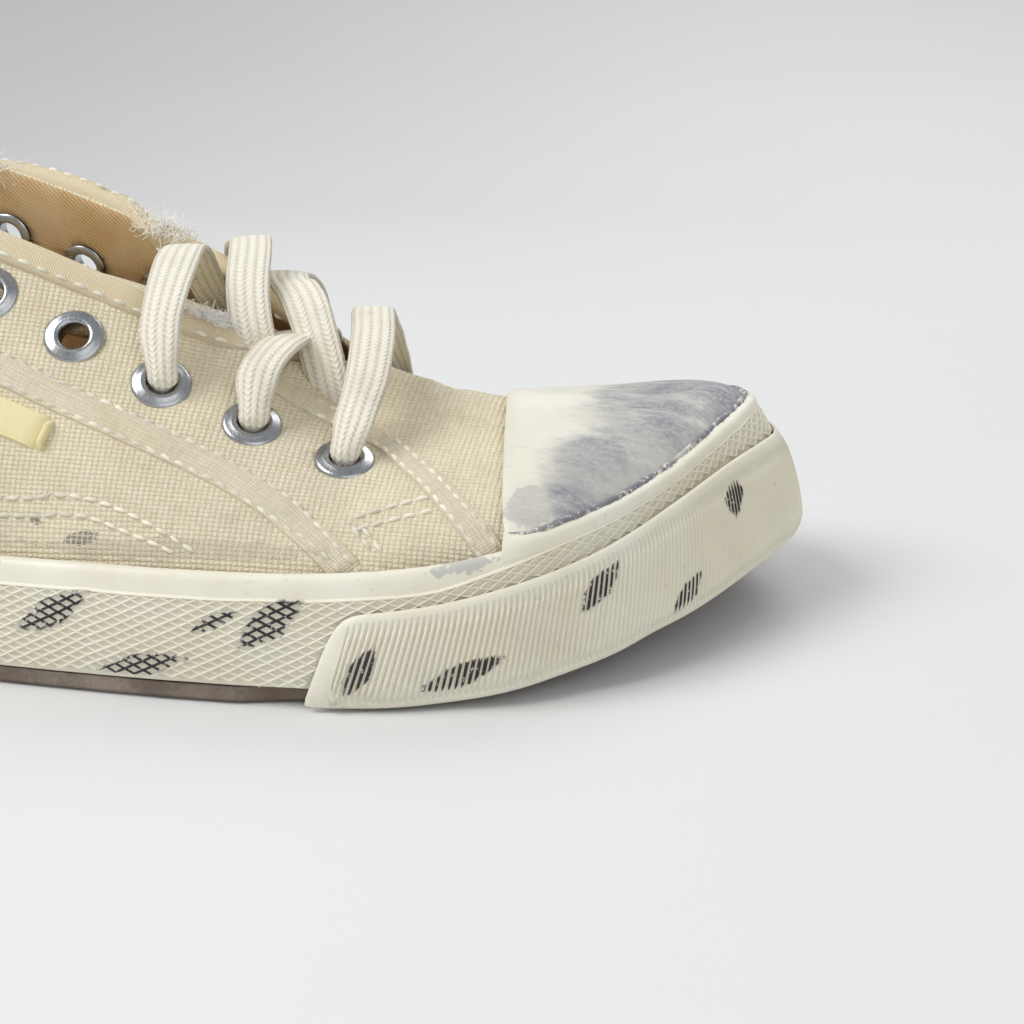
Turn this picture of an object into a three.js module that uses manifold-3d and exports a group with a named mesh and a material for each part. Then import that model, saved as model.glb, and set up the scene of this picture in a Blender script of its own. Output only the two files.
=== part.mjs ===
// Right low-cut canvas sneaker, standing empty on its sole.
// Millimetres. +X points to the toe, +Y to the medial side, +Z up; the floor is z = 0.
import * as THREE from 'three';
import { mergeVertices } from 'three/addons/utils/BufferGeometryUtils.js';
import Module from 'manifold-3d';

const wasm = await Module();
wasm.setup();

// ---- driving dimensions ----
const LENGTH = 290;
const BALL_WIDTH = 107;
const TOE_SPRING = 12;
const SPRING_START_X = 83;
const OUTSOLE_THICKNESS = 3;
const FOXING_WALL = 2.7;
const CANVAS_WALL = 2;
const CAP_THICKNESS = 1.8;
const BUMPER_THICKNESS = 1.6;
const INSOLE_THICKNESS = 3;
const TONGUE_THICKNESS = 2.4;
const GAP = 0.3;
const LACE_WIDTH = 8;
const LACE_THICKNESS = 1.2;

// stations along the shoe: heel to throat, throat to toe cap, toe cap to tip
const THROAT_X = 64.7;
const CAP_X = 97.5;
const REAR_STATIONS = 28;
const VAMP_STATIONS = 3;
const CAP_STATIONS = 11;
const CREST_START = REAR_STATIONS;
const CAP_START = REAR_STATIONS + VAMP_STATIONS;
const STATIONS = CAP_START + CAP_STATIONS;

// rows up each column of the upper
const WALL_ROWS = 1;
const UPPER_ROWS = 8;

// ---- smooth lines: [x, value] stations joined by a monotone cubic ----
function slopes(points) {
  const rise = points.slice(1).map((p, i) => (p[1] - points[i][1]) / (p[0] - points[i][0]));
  return points.map((_, i) => {
    if (i === 0) return rise[0];
    if (i === points.length - 1) return rise[i - 1];
    if (rise[i - 1] * rise[i] <= 0) return 0;
    return (2 * rise[i - 1] * rise[i]) / (rise[i - 1] + rise[i]);
  });
}

function line(points) {
  const m = slopes(points);
  return (x) => {
    if (x <= points[0][0]) return points[0][1];
    const last = points.length - 1;
    if (x >= points[last][0]) return points[last][1];
    let i = 0;
    while (x > points[i + 1][0]) i += 1;
    const width = points[i + 1][0] - points[i][0];
    const t = (x - points[i][0]) / width;
    const a = points[i][1] * (1 + 2 * t) * (1 - t) ** 2;
    const b = m[i] * width * t * (1 - t) ** 2;
    const c = points[i + 1][1] * t * t * (3 - 2 * t);
    const d = m[i + 1] * width * t * t * (t - 1);
    return a + b + c + d;
  };
}

// ---- plan outline of the sole wall, as shares of length and ball width ----
const OUTLINE = [
  [0.4945, 0.187], [0.463, -0.014], [0.426, -0.187], [0.379, -0.338], [0.331, -0.425],
  [0.259, -0.476], [0.172, -0.490], [0.052, -0.470], [-0.121, -0.420], [-0.276, -0.378],
  [-0.386, -0.334], [-0.464, -0.216], [-0.500, -0.012], [-0.466, 0.199], [-0.386, 0.322],
  [-0.276, 0.348], [-0.121, 0.362], [0.017, 0.408], [0.138, 0.470], [0.241, 0.497],
  [0.345, 0.486], [0.414, 0.452], [0.465, 0.378],
];
const outlineCurve = new THREE.CatmullRomCurve3(
  OUTLINE.map(([along, across]) => new THREE.Vector3(along * LENGTH, across * BALL_WIDTH, 0)),
  true,
  'centripetal',
);
const OUTLINE_SAMPLES = 920;

function outlineSides() {
  const ring = [];
  for (let i = 0; i < OUTLINE_SAMPLES; i += 1) {
    const share = i / OUTLINE_SAMPLES;
    const point = outlineCurve.getPoint(share);
    const tangent = outlineCurve.getTangent(share);
    ring.push({ x: point.x, y: point.y, nx: -tangent.y, ny: tangent.x });
  }
  const byX = (pick) => ring.reduce((best, p, i) => (pick(p.x, ring[best].x) ? i : best), 0);
  const toe = byX((a, b) => a > b);
  const heel = byX((a, b) => a < b);
  const walk = (from, to) => {
    const side = [];
    for (let i = from; i !== to; i = (i + 1) % ring.length) side.push(ring[i]);
    side.push(ring[to]);
    return side;
  };
  return { lateral: walk(toe, heel).reverse(), medial: walk(heel, toe) };
}

const sides = outlineSides();
const HEEL_X = sides.lateral[0].x;
const TOE_X = sides.lateral[sides.lateral.length - 1].x;

function edge(side, x) {
  const points = sides[side];
  if (x <= HEEL_X) return points[0];
  if (x >= TOE_X) return points[points.length - 1];
  let i = 0;
  while (points[i + 1].x < x) i += 1;
  const a = points[i];
  const b = points[i + 1];
  const t = (x - a.x) / (b.x - a.x);
  const mix = (key) => a[key] + (b[key] - a[key]) * t;
  return { x, y: mix('y'), nx: mix('nx'), ny: mix('ny') };
}

// a plan point moved in from the outline, square to it
function inset(side, x, distance) {
  const p = edge(side, x);
  const size = Math.hypot(p.nx, p.ny);
  return [p.x - (distance * p.nx) / size, p.y - (distance * p.ny) / size];
}

// ---- height lines ----
function bottomZ(x) {
  const share = Math.max(0, (x - SPRING_START_X) / (TOE_X - SPRING_START_X));
  return TOE_SPRING * share ** 1.35;
}

const foxingTopZ = line([
  [-145, 26], [-110, 24.5], [-60, 22], [60, 22], [83, 23.2], [97, 25.6],
  [111, 28.8], [118, 31], [126, 34.6], [131, 37.2], [135, 38.6],
]);
const bumperTopZ = line([
  [58, 15.8], [70, 16.4], [83, 17.4], [97, 20.2], [111, 23.8], [125, 28.9], [133, 31.4], [141, 32.6],
]);
// how far the sole wall leans in at its rim: most at the tip of the toe
const lean = line([[-145, 1.5], [97, 1.5], [111, 2], [125, 4], [134, 6.4], [143, 8.6]]);
const floorRise = line([[-145, 13], [-95, 13], [-20, 11], [50, 9], [143, 8.5]]);

// ---- top lines of the upper: collar, eyestays, then the crest of the vamp ----
const COLLAR_BACK_X = -133;
const COLLAR_TURN_X = -98;
const CAP_CREST_X = 89;
const CREST_FRONT_X = 121;

const edgeY = {
  lateral: line([[-98, -28], [-60, -27], [-26, -19.5], [2, -17], [31, -15.5], [48, -13.5],
    [57, -9], [64.7, 1.5]]),
  medial: line([[-98, 28], [-60, 29], [-26, 27.5], [2, 24], [31, 20], [48, 17],
    [57, 12], [64.7, 1.5]]),
};
const edgeZ = {
  lateral: line([[-133, 77], [-122, 72], [-105, 64], [-85, 60.5], [-62, 64], [-42, 74],
    [-28, 82], [-18, 79.5], [2, 72], [17, 66], [31, 60], [38, 56], [48, 51], [57, 48.6], [64.7, 48]]),
  medial: line([[-133, 77], [-122, 72], [-105, 64], [-85, 61], [-62, 65], [-42, 75],
    [-30, 83], [-19, 81], [-3, 76.4], [14, 70.6], [31, 63.6], [48, 54.6], [57, 49.8], [64.7, 48]]),
};
const crestY = line([[64.7, 1.5], [87, 3.5], [105, 8], [121, 14]]);
const crestZ = line([[64.7, 48], [75, 44.4], [90, 40.8], [105, 39], [124, 37.8]]);
const bulge = line([[-145, 4], [-100, 6], [-50, 5], [0, 3], [30, 2.4], [64.7, 2.6], [97, 3],
  [118, 2.4], [131, 1.6], [143, 1]]);

function topX(x) {
  if (x > CAP_X) {
    const share = Math.asin(Math.min(1, (x - CAP_X) / (TOE_X - CAP_X))) / (Math.PI / 2);
    const last = (CAP_STATIONS - 1) / CAP_STATIONS;
    return CAP_CREST_X + (CREST_FRONT_X - CAP_CREST_X) * Math.min(share, last);
  }
  if (x > THROAT_X) {
    return THROAT_X + ((x - THROAT_X) * (CAP_CREST_X - THROAT_X)) / (CAP_X - THROAT_X);
  }
  if (x > -60) return x;
  return -60 + ((x + 60) * (COLLAR_BACK_X + 60)) / (HEEL_X + 60);
}

function topPoint(side, x) {
  const along = topX(x);
  if (along >= THROAT_X) return new THREE.Vector3(along, crestY(along), crestZ(along));
  let across = edgeY[side](along);
  if (along < COLLAR_TURN_X) {
    const share = (COLLAR_TURN_X - along) / (COLLAR_TURN_X - COLLAR_BACK_X);
    across *= Math.sqrt(Math.max(0, 1 - share * share));
  }
  return new THREE.Vector3(along, across, edgeZ[side](along));
}

// a point of the upper's outer face: t from 0 at the sole wall's rim to 1 at the top line
const upperInset = (x) => lean(x) + FOXING_WALL + GAP;

function upperPoint(side, x, t) {
  const [ax, ay] = inset(side, x, upperInset(x));
  const foot = new THREE.Vector3(ax, ay, foxingTopZ(ax));
  const top = topPoint(side, x);
  const chord = top.clone().sub(foot);
  const out = new THREE.Vector3(ax - top.x, ay - top.y, 0);
  if (out.length() < 1) out.set(-1, 0, 0);
  out.normalize().add(new THREE.Vector3(0, 0, 1));
  const along = chord.clone().normalize();
  out.addScaledVector(along, -out.dot(along)).normalize();
  // fullest a third of the way up, and flat again at the top line
  const swell = bulge(ax) * 6.75 * t * (1 - t) ** 2;
  return foot.addScaledVector(chord, t).addScaledVector(out, swell);
}

function wallPoint(side, x, t) {
  const [ax, ay] = inset(side, x, upperInset(x));
  const low = bottomZ(ax) + floorRise(ax) + GAP;
  return new THREE.Vector3(ax, ay, low + (foxingTopZ(ax) - low) * t);
}

// ---- mesh helpers ----
const stationX = [];
for (let i = 0; i < REAR_STATIONS; i += 1) {
  stationX.push(THROAT_X - (THROAT_X - HEEL_X) * Math.cos((Math.PI * i) / (2 * REAR_STATIONS)));
}
for (let i = 0; i < VAMP_STATIONS; i += 1) {
  stationX.push(THROAT_X + ((CAP_X - THROAT_X) * i) / VAMP_STATIONS);
}
for (let i = 0; i <= CAP_STATIONS; i += 1) {
  stationX.push(CAP_X + (TOE_X - CAP_X) * Math.sin((Math.PI * i) / (2 * CAP_STATIONS)));
}

// columns round the shoe: heel, lateral side, toe, medial side
const columns = [{ side: 'lateral', station: 0 }];
for (let i = 1; i < STATIONS; i += 1) columns.push({ side: 'lateral', station: i });
columns.push({ side: 'lateral', station: STATIONS });
for (let i = STATIONS - 1; i > 0; i -= 1) columns.push({ side: 'medial', station: i });

function geometryFrom(vertices, triangles) {
  const used = triangles.filter(([a, b, c]) => a !== b && b !== c && a !== c);
  let volume = 0;
  const cross = new THREE.Vector3();
  for (const [a, b, c] of used) {
    volume += cross.crossVectors(vertices[b], vertices[c]).dot(vertices[a]);
  }
  const ordered = volume > 0 ? used : used.map(([a, b, c]) => [a, c, b]);
  const geometry = new THREE.BufferGeometry();
  const flat = vertices.flatMap((v) => [v.x, v.y, v.z]);
  geometry.setAttribute('position', new THREE.Float32BufferAttribute(flat, 3));
  geometry.setIndex(ordered.flat());
  return geometry;
}

// a closed solid of rings round the shoe, each end closed by strips across the shoe
function ringSolid(rings) {
  const count = columns.length;
  const vertices = rings.flat();
  const triangles = [];
  const quad = (a, b, c, d) => triangles.push([a, b, c], [a, c, d]);
  for (let r = 0; r < rings.length - 1; r += 1) {
    for (let k = 0; k < count; k += 1) {
      const next = (k + 1) % count;
      quad(r * count + k, r * count + next, (r + 1) * count + next, (r + 1) * count + k);
    }
  }
  const cap = (base, flip) => {
    const at = (k) => base + (k % count);
    for (let i = 0; i < STATIONS; i += 1) {
      const q = [at(i), at(i + 1), at(count - i - 1), at(count - i)];
      if (flip) q.reverse();
      quad(...q);
    }
  };
  cap(0, true);
  cap((rings.length - 1) * count, false);
  return geometryFrom(vertices, triangles);
}

function ring(distance, height) {
  return columns.map(({ side, station }) => {
    const x = stationX[station];
    const [px, py] = inset(side, x, typeof distance === 'function' ? distance(x) : distance);
    return new THREE.Vector3(px, py, height(px));
  });
}

// a closed section carried along a list of places, closed at both ends
function bandSolid(sections) {
  const count = sections[0].length;
  const vertices = sections.flat();
  const triangles = [];
  for (let s = 0; s < sections.length - 1; s += 1) {
    for (let k = 0; k < count; k += 1) {
      const a = s * count + k;
      const b = s * count + ((k + 1) % count);
      triangles.push([a, b, b + count], [a, b + count, a + count]);
    }
  }
  const end = (sections.length - 1) * count;
  for (let k = 1; k < count - 1; k += 1) {
    triangles.push([0, k + 1, k], [end, end + k, end + k + 1]);
  }
  return geometryFrom(vertices, triangles);
}

// ---- the upper's outer face as one open surface, folded shut along the vamp's crest ----
function lastSurface() {
  const rows = WALL_ROWS + UPPER_ROWS;
  const vertices = [];
  const ids = new Map();
  const crestKey = (station) => `crest${Math.min(station, STATIONS - 1)}`;
  const index = (k, row) => {
    const { side, station } = columns[k];
    const shared = row === rows && station >= CREST_START;
    const key = shared ? crestKey(station) : `${k}:${row}`;
    if (!ids.has(key)) {
      const x = shared ? stationX[Math.min(station, STATIONS - 1)] : stationX[station];
      const point = row < WALL_ROWS
        ? wallPoint(side, x, row / WALL_ROWS)
        : upperPoint(side, x, (row - WALL_ROWS) / UPPER_ROWS);
      ids.set(key, vertices.length);
      vertices.push(point);
    }
    return ids.get(key);
  };
  const faces = [];
  columns.forEach((column, k) => {
    const next = (k + 1) % columns.length;
    const station = Math.min(column.station, columns[next].station);
    for (let row = 0; row < rows; row += 1) {
      const corners = [index(k, row), index(next, row), index(next, row + 1), index(k, row + 1)];
      faces.push({ corners, station, row });
    }
  });
  return { vertices, faces, normals: vertexNormals(vertices, faces) };
}

function vertexNormals(vertices, faces) {
  const normals = vertices.map(() => new THREE.Vector3());
  for (const { corners } of faces) {
    const [a, b, c, d] = corners.map((i) => vertices[i]);
    const across = c.clone().sub(a);
    const normal = across.cross(d.clone().sub(b));
    corners.forEach((i) => normals[i].add(normal));
  }
  return normals.map((n) => n.normalize());
}

// two copies of a surface, moved along its normals and joined round the rim
function shellSolid(surface, faces, inner, outer) {
  const shift = new Map();
  const vertices = [];
  const place = (i, layer, distance) => {
    const key = `${i}:${layer}`;
    if (!shift.has(key)) {
      shift.set(key, vertices.length);
      vertices.push(surface.vertices[i].clone().addScaledVector(surface.normals[i], distance));
    }
    return shift.get(key);
  };
  const triangles = [];
  const edges = new Map();
  for (const { corners } of faces) {
    const o = corners.map((i) => place(i, 'outer', outer));
    const n = corners.map((i) => place(i, 'inner', inner));
    triangles.push([o[0], o[1], o[2]], [o[0], o[2], o[3]]);
    triangles.push([n[0], n[2], n[1]], [n[0], n[3], n[2]]);
    corners.forEach((a, k) => {
      const b = corners[(k + 1) % 4];
      if (a === b) return;
      const back = `${b}:${a}`;
      if (edges.has(back)) edges.delete(back);
      else edges.set(`${a}:${b}`, [a, b]);
    });
  }
  for (const [a, b] of edges.values()) {
    const [oa, ob] = [place(a, 'outer', outer), place(b, 'outer', outer)];
    const [na, nb] = [place(a, 'inner', inner), place(b, 'inner', inner)];
    triangles.push([oa, na, nb], [oa, nb, ob]);
  }
  return geometryFrom(vertices, triangles);
}

// ---- booleans ----
function toManifold(geometry) {
  const bare = geometry.clone();
  bare.deleteAttribute('normal');
  bare.deleteAttribute('uv');
  const merged = mergeVertices(bare, 1e-4);
  return new wasm.Manifold(new wasm.Mesh({
    numProp: 3,
    vertProperties: new Float32Array(merged.attributes.position.array),
    triVerts: new Uint32Array(merged.index.array),
  }));
}

function fromManifold(solid) {
  const mesh = solid.getMesh();
  const geometry = new THREE.BufferGeometry();
  geometry.setAttribute('position', new THREE.Float32BufferAttribute(mesh.vertProperties, 3));
  geometry.setIndex(Array.from(mesh.triVerts));
  return geometry;
}

// ---- sole ----
const FRONT_X = 60;
const TREAD_DEPTH = 1.4;
const TREAD_WIDTH = 3;
const TREAD_PITCH = 12;
const FOREFOOT_TREAD = { start: 16, count: 9, width: 78, taper: 3 };
const HEEL_TREAD = { start: -124, count: 5, width: 46, taper: 0 };
const ARCH_RECESS = { length: 60, width: 44, x: -32, y: -1 };

function outsole() {
  // behind the toe bumper the tread sheet is set back
  const behind = (x) => (x > FRONT_X ? 2.6 : 0.5);
  const plate = ringSolid([
    ring((x) => behind(x) + 0.8, bottomZ),
    ring(behind, (x) => bottomZ(x) + 0.8),
    ring(behind, (x) => bottomZ(x) + OUTSOLE_THICKNESS),
  ]);
  let solid = toManifold(plate);
  const recess = (length, width, x, y) => {
    const box = new THREE.BoxGeometry(length, width, 2 * TREAD_DEPTH);
    box.translate(x, y, bottomZ(x));
    solid = solid.subtract(toManifold(box));
  };
  for (const { start, count, width, taper } of [FOREFOOT_TREAD, HEEL_TREAD]) {
    for (let i = 0; i < count; i += 1) {
      const fromMiddle = Math.abs(i - (count - 1) / 2);
      recess(TREAD_WIDTH, width - taper * fromMiddle, start + i * TREAD_PITCH, 1);
    }
  }
  recess(ARCH_RECESS.length, ARCH_RECESS.width, ARCH_RECESS.x, ARCH_RECESS.y);
  return fromManifold(solid);
}

const LEAN_AT_HALF = 0.25;
const LEAN_AT_BAND = 0.75;

function foxing() {
  const base = (x) => bottomZ(x) + OUTSOLE_THICKNESS + GAP;
  return ringSolid([
    ring(0.6, base),
    ring(0, (x) => base(x) + 1),
    ring((x) => LEAN_AT_HALF * lean(x), (x) => (base(x) + 1 + foxingTopZ(x) - 3) / 2),
    ring((x) => LEAN_AT_BAND * lean(x), (x) => foxingTopZ(x) - 3),
    ring(lean, (x) => foxingTopZ(x) - 0.8),
    ring((x) => lean(x) + 0.8, foxingTopZ),
    ring((x) => lean(x) + FOXING_WALL - 0.5, foxingTopZ),
    ring((x) => lean(x) + FOXING_WALL, (x) => foxingTopZ(x) - 0.6),
    ring((x) => lean(x) + FOXING_WALL, (x) => bottomZ(x) + floorRise(x)),
  ]);
}

function insole() {
  const margin = (x) => upperInset(x) + CANVAS_WALL + 0.6;
  const low = (x) => bottomZ(x) + floorRise(x) + GAP;
  return ringSolid([
    ring(margin, low),
    ring(margin, (x) => low(x) + INSOLE_THICKNESS - 0.8),
    ring((x) => margin(x) + 1, (x) => low(x) + INSOLE_THICKNESS),
  ]);
}

// ---- toe bumper: a thick band round the front of the sole wall ----
const BUMPER_BACK = { lateral: [64.5, 70.5], medial: [62, 68] };

// how far the sole wall leans in at a height, so that the band lies against it
function wallLean(x, z) {
  const low = bottomZ(x) + OUTSOLE_THICKNESS + GAP + 1;
  const high = foxingTopZ(x) - 3;
  const share = Math.max(0, (z - low) / (high - low));
  if (share < 0.5) return lean(x) * LEAN_AT_HALF * share * 2;
  return lean(x) * (LEAN_AT_HALF + (LEAN_AT_BAND - LEAN_AT_HALF) * (share - 0.5) * 2);
}

function bumper() {
  const clearOfEnds = ({ side, station }) => stationX[station] > BUMPER_BACK[side][1] + 4;
  const places = columns.filter(clearOfEnds);
  const section = (side, xLow, xTop) => {
    const at = (share, out) => {
      const x = xLow + (xTop - xLow) * share;
      const low = bottomZ(x) + 0.4;
      const z = low + (bumperTopZ(x) - low) * share;
      const [px, py] = inset(side, x, wallLean(x, z) - out);
      return new THREE.Vector3(px, py, z);
    };
    const inner = 1.5 * GAP;
    const outer = inner + BUMPER_THICKNESS;
    return [
      at(0, inner), at(0, outer - 1), at(0.08, outer - 0.2), at(0.3, outer), at(0.6, outer),
      at(0.94, outer - 0.1), at(1, outer - 0.6), at(1, inner), at(0.8, inner), at(0.55, inner),
      at(0.2, inner),
    ];
  };
  const end = (side) => section(side, ...BUMPER_BACK[side]);
  const middle = places.map(({ side, station }) => {
    const x = stationX[station];
    return section(side, x, x);
  });
  return bandSolid([end('lateral'), ...middle, end('medial')]);
}

// ---- upper and toe cap, both from the last's surface ----
const surface = lastSurface();

// eyelets as [along, across], from the vamp to the collar
const EYELETS = {
  lateral: [[66.4, -26.5], [49.7, -26.2], [33.5, -26], [17.4, -24.4], [1.6, -23.2], [-14.4, -22.8]],
  medial: [[63.4, 25.4], [46.5, 27.2], [30.2, 28], [14.2, 29], [-1.8, 29.5], [-17.8, 30]],
};
const EYELET_HOLE = 5.6;
const EYELET_BARREL = 6.6;
const EYELET_FLANGE = 10.6;
const EYELET_SIDES = 10;

function surfacePlace(side, x, y) {
  let low = 0;
  let high = 1;
  for (let i = 0; i < 40; i += 1) {
    const t = (low + high) / 2;
    if (Math.abs(upperPoint(side, x, t).y) > Math.abs(y)) low = t;
    else high = t;
  }
  const point = upperPoint(side, x, low);
  const along = upperPoint(side, x + 3, low).sub(upperPoint(side, x - 3, low));
  const up = upperPoint(side, x, low + 0.05).sub(upperPoint(side, x, low - 0.05));
  const normal = along.cross(up).normalize();
  if (normal.z < 0) normal.negate();
  return { point, normal };
}

const turnTo = (normal) => new THREE.Quaternion().setFromUnitVectors(
  new THREE.Vector3(0, 1, 0),
  normal,
);

function upper() {
  let solid = toManifold(shellSolid(surface, surface.faces, -CANVAS_WALL, 0));
  for (const side of ['lateral', 'medial']) {
    for (const [x, y] of EYELETS[side]) {
      const { point, normal } = surfacePlace(side, x, y);
      const radius = EYELET_BARREL / 2 + GAP;
      const punch = new THREE.CylinderGeometry(radius, radius, 12, EYELET_SIDES);
      punch.applyQuaternion(turnTo(normal));
      punch.translate(point.x, point.y, point.z);
      solid = solid.subtract(toManifold(punch));
    }
  }
  return fromManifold(solid);
}

function toeCap() {
  const faces = surface.faces.filter(({ station, row }) => station >= CAP_START && row >= WALL_ROWS);
  const lifted = {
    vertices: surface.vertices.map((v, i) => {
      const atRim = faces.some((f) => f.row === WALL_ROWS && f.corners.slice(0, 2).includes(i));
      return atRim ? v.clone().add(new THREE.Vector3(0, 0, 1)) : v;
    }),
    normals: surface.normals,
  };
  return shellSolid(lifted, faces, 1.4 * GAP, 1.4 * GAP + CAP_THICKNESS);
}

// ---- tongue: a loose flap under the eyestays ----
const tongueZ = line([[-25, 72], [-10, 67], [5, 62], [25, 56.5], [35, 53.5], [48, 48.6], [57, 44.2],
  [64.7, 40.2], [72, 37]]);
const tongueHalf = line([[-25, 23], [20, 19], [48, 13], [57, 9], [72, 7]]);
const TONGUE_BACK_X = -25;
const TONGUE_FRONT_X = 72;
const TONGUE_Y = 3;
const TONGUE_ARCH = 0.014;

function tongue() {
  const along = 14;
  const across = 8;
  const vertices = [];
  const faces = [];
  for (let i = 0; i <= along; i += 1) {
    const x = TONGUE_BACK_X + ((TONGUE_FRONT_X - TONGUE_BACK_X) * i) / along;
    for (let j = 0; j <= across; j += 1) {
      const offset = tongueHalf(x) * ((2 * j) / across - 1);
      const z = tongueZ(x) - TONGUE_ARCH * offset ** 2;
      vertices.push(new THREE.Vector3(x, TONGUE_Y + offset, z));
    }
  }
  for (let i = 0; i < along; i += 1) {
    for (let j = 0; j < across; j += 1) {
      const a = i * (across + 1) + j;
      faces.push({ corners: [a, a + across + 1, a + across + 2, a + 1] });
    }
  }
  const sheet = { vertices, normals: vertexNormals(vertices, faces) };
  return shellSolid(sheet, faces, -TONGUE_THICKNESS / 2, TONGUE_THICKNESS / 2);
}

// ---- eyelets ----
function eyeletGeometry() {
  const hole = EYELET_HOLE / 2;
  const barrel = EYELET_BARREL / 2;
  const flange = EYELET_FLANGE / 2;
  const lift = 0.9;
  const under = -CANVAS_WALL - 0.8;
  const profile = [
    [hole, under - 0.6], [flange - 0.6, under - 0.6], [flange - 0.6, under], [barrel, under],
    [barrel, lift], [flange, lift], [flange - 1, lift + 1.1], [hole, lift + 0.5],
    [hole, under - 0.6],
  ].map(([r, z]) => new THREE.Vector2(r, z));
  return new THREE.LatheGeometry(profile, EYELET_SIDES);
}

// ---- lace strips: the loose arches over the throat, from the collar end forward ----
const LACE_STEPS = 10;
const LACE_ROUTES = [
  [[33.6, -23.5, 55.5], [33, -19, 62], [31.5, -10, 66.5], [29.6, 1, 67], [28, 10, 64.5], [27, 15.5, 61.5]],
  [[44.6, -12.5, 56], [43.4, -7, 62.5], [41.8, 1, 66.8], [39.5, 9, 65], [38, 14, 62.5]],
  [[50.6, -22.8, 48.5], [51.6, -17, 52], [52.4, -9, 52.4], [52.6, 0, 52], [52.8, 9, 52]],
  [[57.4, -10, 55.6], [53.4, -5.5, 58.6], [48.5, 1, 60.8], [45, 9, 60], [43.4, 13.4, 58.6]],
  [[67.6, -22, 43.5], [68, -15, 50], [66.4, -6, 54.8], [64.6, 2, 55.4], [63.4, 8, 53.6]],
];

function laceStrip(route) {
  const curve = new THREE.CatmullRomCurve3(route.map((p) => new THREE.Vector3(...p)));
  const steps = LACE_STEPS;
  const sections = [];
  for (let i = 0; i <= steps; i += 1) {
    const point = curve.getPoint(i / steps);
    const tangent = curve.getTangent(i / steps);
    const wide = new THREE.Vector3(1, 0, 0).addScaledVector(tangent, -tangent.x).normalize();
    const thick = new THREE.Vector3().crossVectors(tangent, wide);
    const corner = (a, b) => point.clone().addScaledVector(wide, (a * LACE_WIDTH) / 2)
      .addScaledVector(thick, (b * LACE_THICKNESS) / 2);
    sections.push([corner(-1, -0.5), corner(-0.8, -1), corner(0.8, -1), corner(1, -0.5),
      corner(1, 0.5), corner(0.8, 1), corner(-0.8, 1), corner(-1, 0.5)]);
  }
  return bandSolid(sections);
}

// ---- label tab on the lateral quarter ----
const TAB_X = -11;
const TAB_LENGTH = 26;

function labelTab() {
  const vertices = [];
  const faces = [];
  const along = 4;
  const up = 2;
  for (let i = 0; i <= along; i += 1) {
    for (let j = 0; j <= up; j += 1) {
      const x = TAB_X + (TAB_LENGTH * i) / along;
      vertices.push(upperPoint('lateral', x + j * 1.6, 0.33 + (0.15 * j) / up));
    }
  }
  for (let i = 0; i < along; i += 1) {
    for (let j = 0; j < up; j += 1) {
      const a = i * (up + 1) + j;
      faces.push({ corners: [a, a + up + 1, a + up + 2, a + 1] });
    }
  }
  const sheet = { vertices, normals: vertexNormals(vertices, faces) };
  return shellSolid(sheet, faces, 0.5, 1.7);
}

// ---- assembly ----
const finishes = {
  outsole: { color: 0x83766a, roughness: 0.8, metalness: 0 },
  rubber: { color: 0xe9e4d2, roughness: 0.55, metalness: 0 },
  canvas: { color: 0xe3d3ae, roughness: 0.95, metalness: 0 },
  lining: { color: 0xd9b27c, roughness: 0.95, metalness: 0 },
  steel: { color: 0xb9bcc0, roughness: 0.25, metalness: 1 },
  lace: { color: 0xe8dfc6, roughness: 0.85, metalness: 0 },
  satin: { color: 0xf0e3a8, roughness: 0.6, metalness: 0 },
};

const shoe = new THREE.Group();

function add(name, geometry, finish) {
  const mesh = new THREE.Mesh(geometry, new THREE.MeshStandardMaterial(finishes[finish]));
  mesh.name = name;
  shoe.add(mesh);
  return mesh;
}

add('outsole', outsole(), 'outsole');
add('foxing', foxing(), 'rubber');
add('toe_bumper', bumper(), 'rubber');
add('toe_cap', toeCap(), 'rubber');
add('upper', upper(), 'canvas');
add('insole', insole(), 'lining');
add('tongue', tongue(), 'canvas');
add('label_tab', labelTab(), 'satin');
for (const side of ['lateral', 'medial']) {
  EYELETS[side].forEach(([x, y], i) => {
    const { point, normal } = surfacePlace(side, x, y);
    const eyelet = add(`eyelet_${side}_${i + 1}`, eyeletGeometry(), 'steel');
    eyelet.position.copy(point);
    eyelet.quaternion.setFromUnitVectors(new THREE.Vector3(0, 1, 0), normal);
  });
}
LACE_ROUTES.forEach((route, i) => add(`lace_strip_${i + 1}`, laceStrip(route), 'lace'));

export default shoe;
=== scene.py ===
# Right low-cut canvas sneaker, worn, creased and dirty, standing empty on a pale floor.
# Metres in the row frame: +X to the toe, -Y the lateral side, +Z up. MM turns a maker's sizes into metres.
import math
import random

import bpy
from mathutils import Matrix, Vector
from mathutils.bvhtree import BVHTree


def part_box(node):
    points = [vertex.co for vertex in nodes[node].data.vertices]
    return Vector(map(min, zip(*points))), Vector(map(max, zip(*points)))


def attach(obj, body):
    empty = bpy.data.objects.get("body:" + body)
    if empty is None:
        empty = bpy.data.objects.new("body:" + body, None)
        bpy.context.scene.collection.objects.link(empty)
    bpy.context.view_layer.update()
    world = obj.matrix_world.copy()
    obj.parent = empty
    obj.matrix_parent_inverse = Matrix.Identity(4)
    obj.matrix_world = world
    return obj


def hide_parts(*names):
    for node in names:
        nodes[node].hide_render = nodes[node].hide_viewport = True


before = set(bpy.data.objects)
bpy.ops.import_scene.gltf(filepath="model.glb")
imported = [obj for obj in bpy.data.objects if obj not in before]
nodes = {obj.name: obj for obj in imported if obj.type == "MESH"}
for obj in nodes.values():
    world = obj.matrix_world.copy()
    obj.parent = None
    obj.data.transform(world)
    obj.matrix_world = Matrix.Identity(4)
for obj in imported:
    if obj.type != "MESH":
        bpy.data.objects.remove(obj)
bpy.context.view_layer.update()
MM = 0.001
UP = Vector((0, 0, 1))
dice = random.Random(7)
SPINE_Y = 3 * MM          # the shoe's middle line
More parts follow.
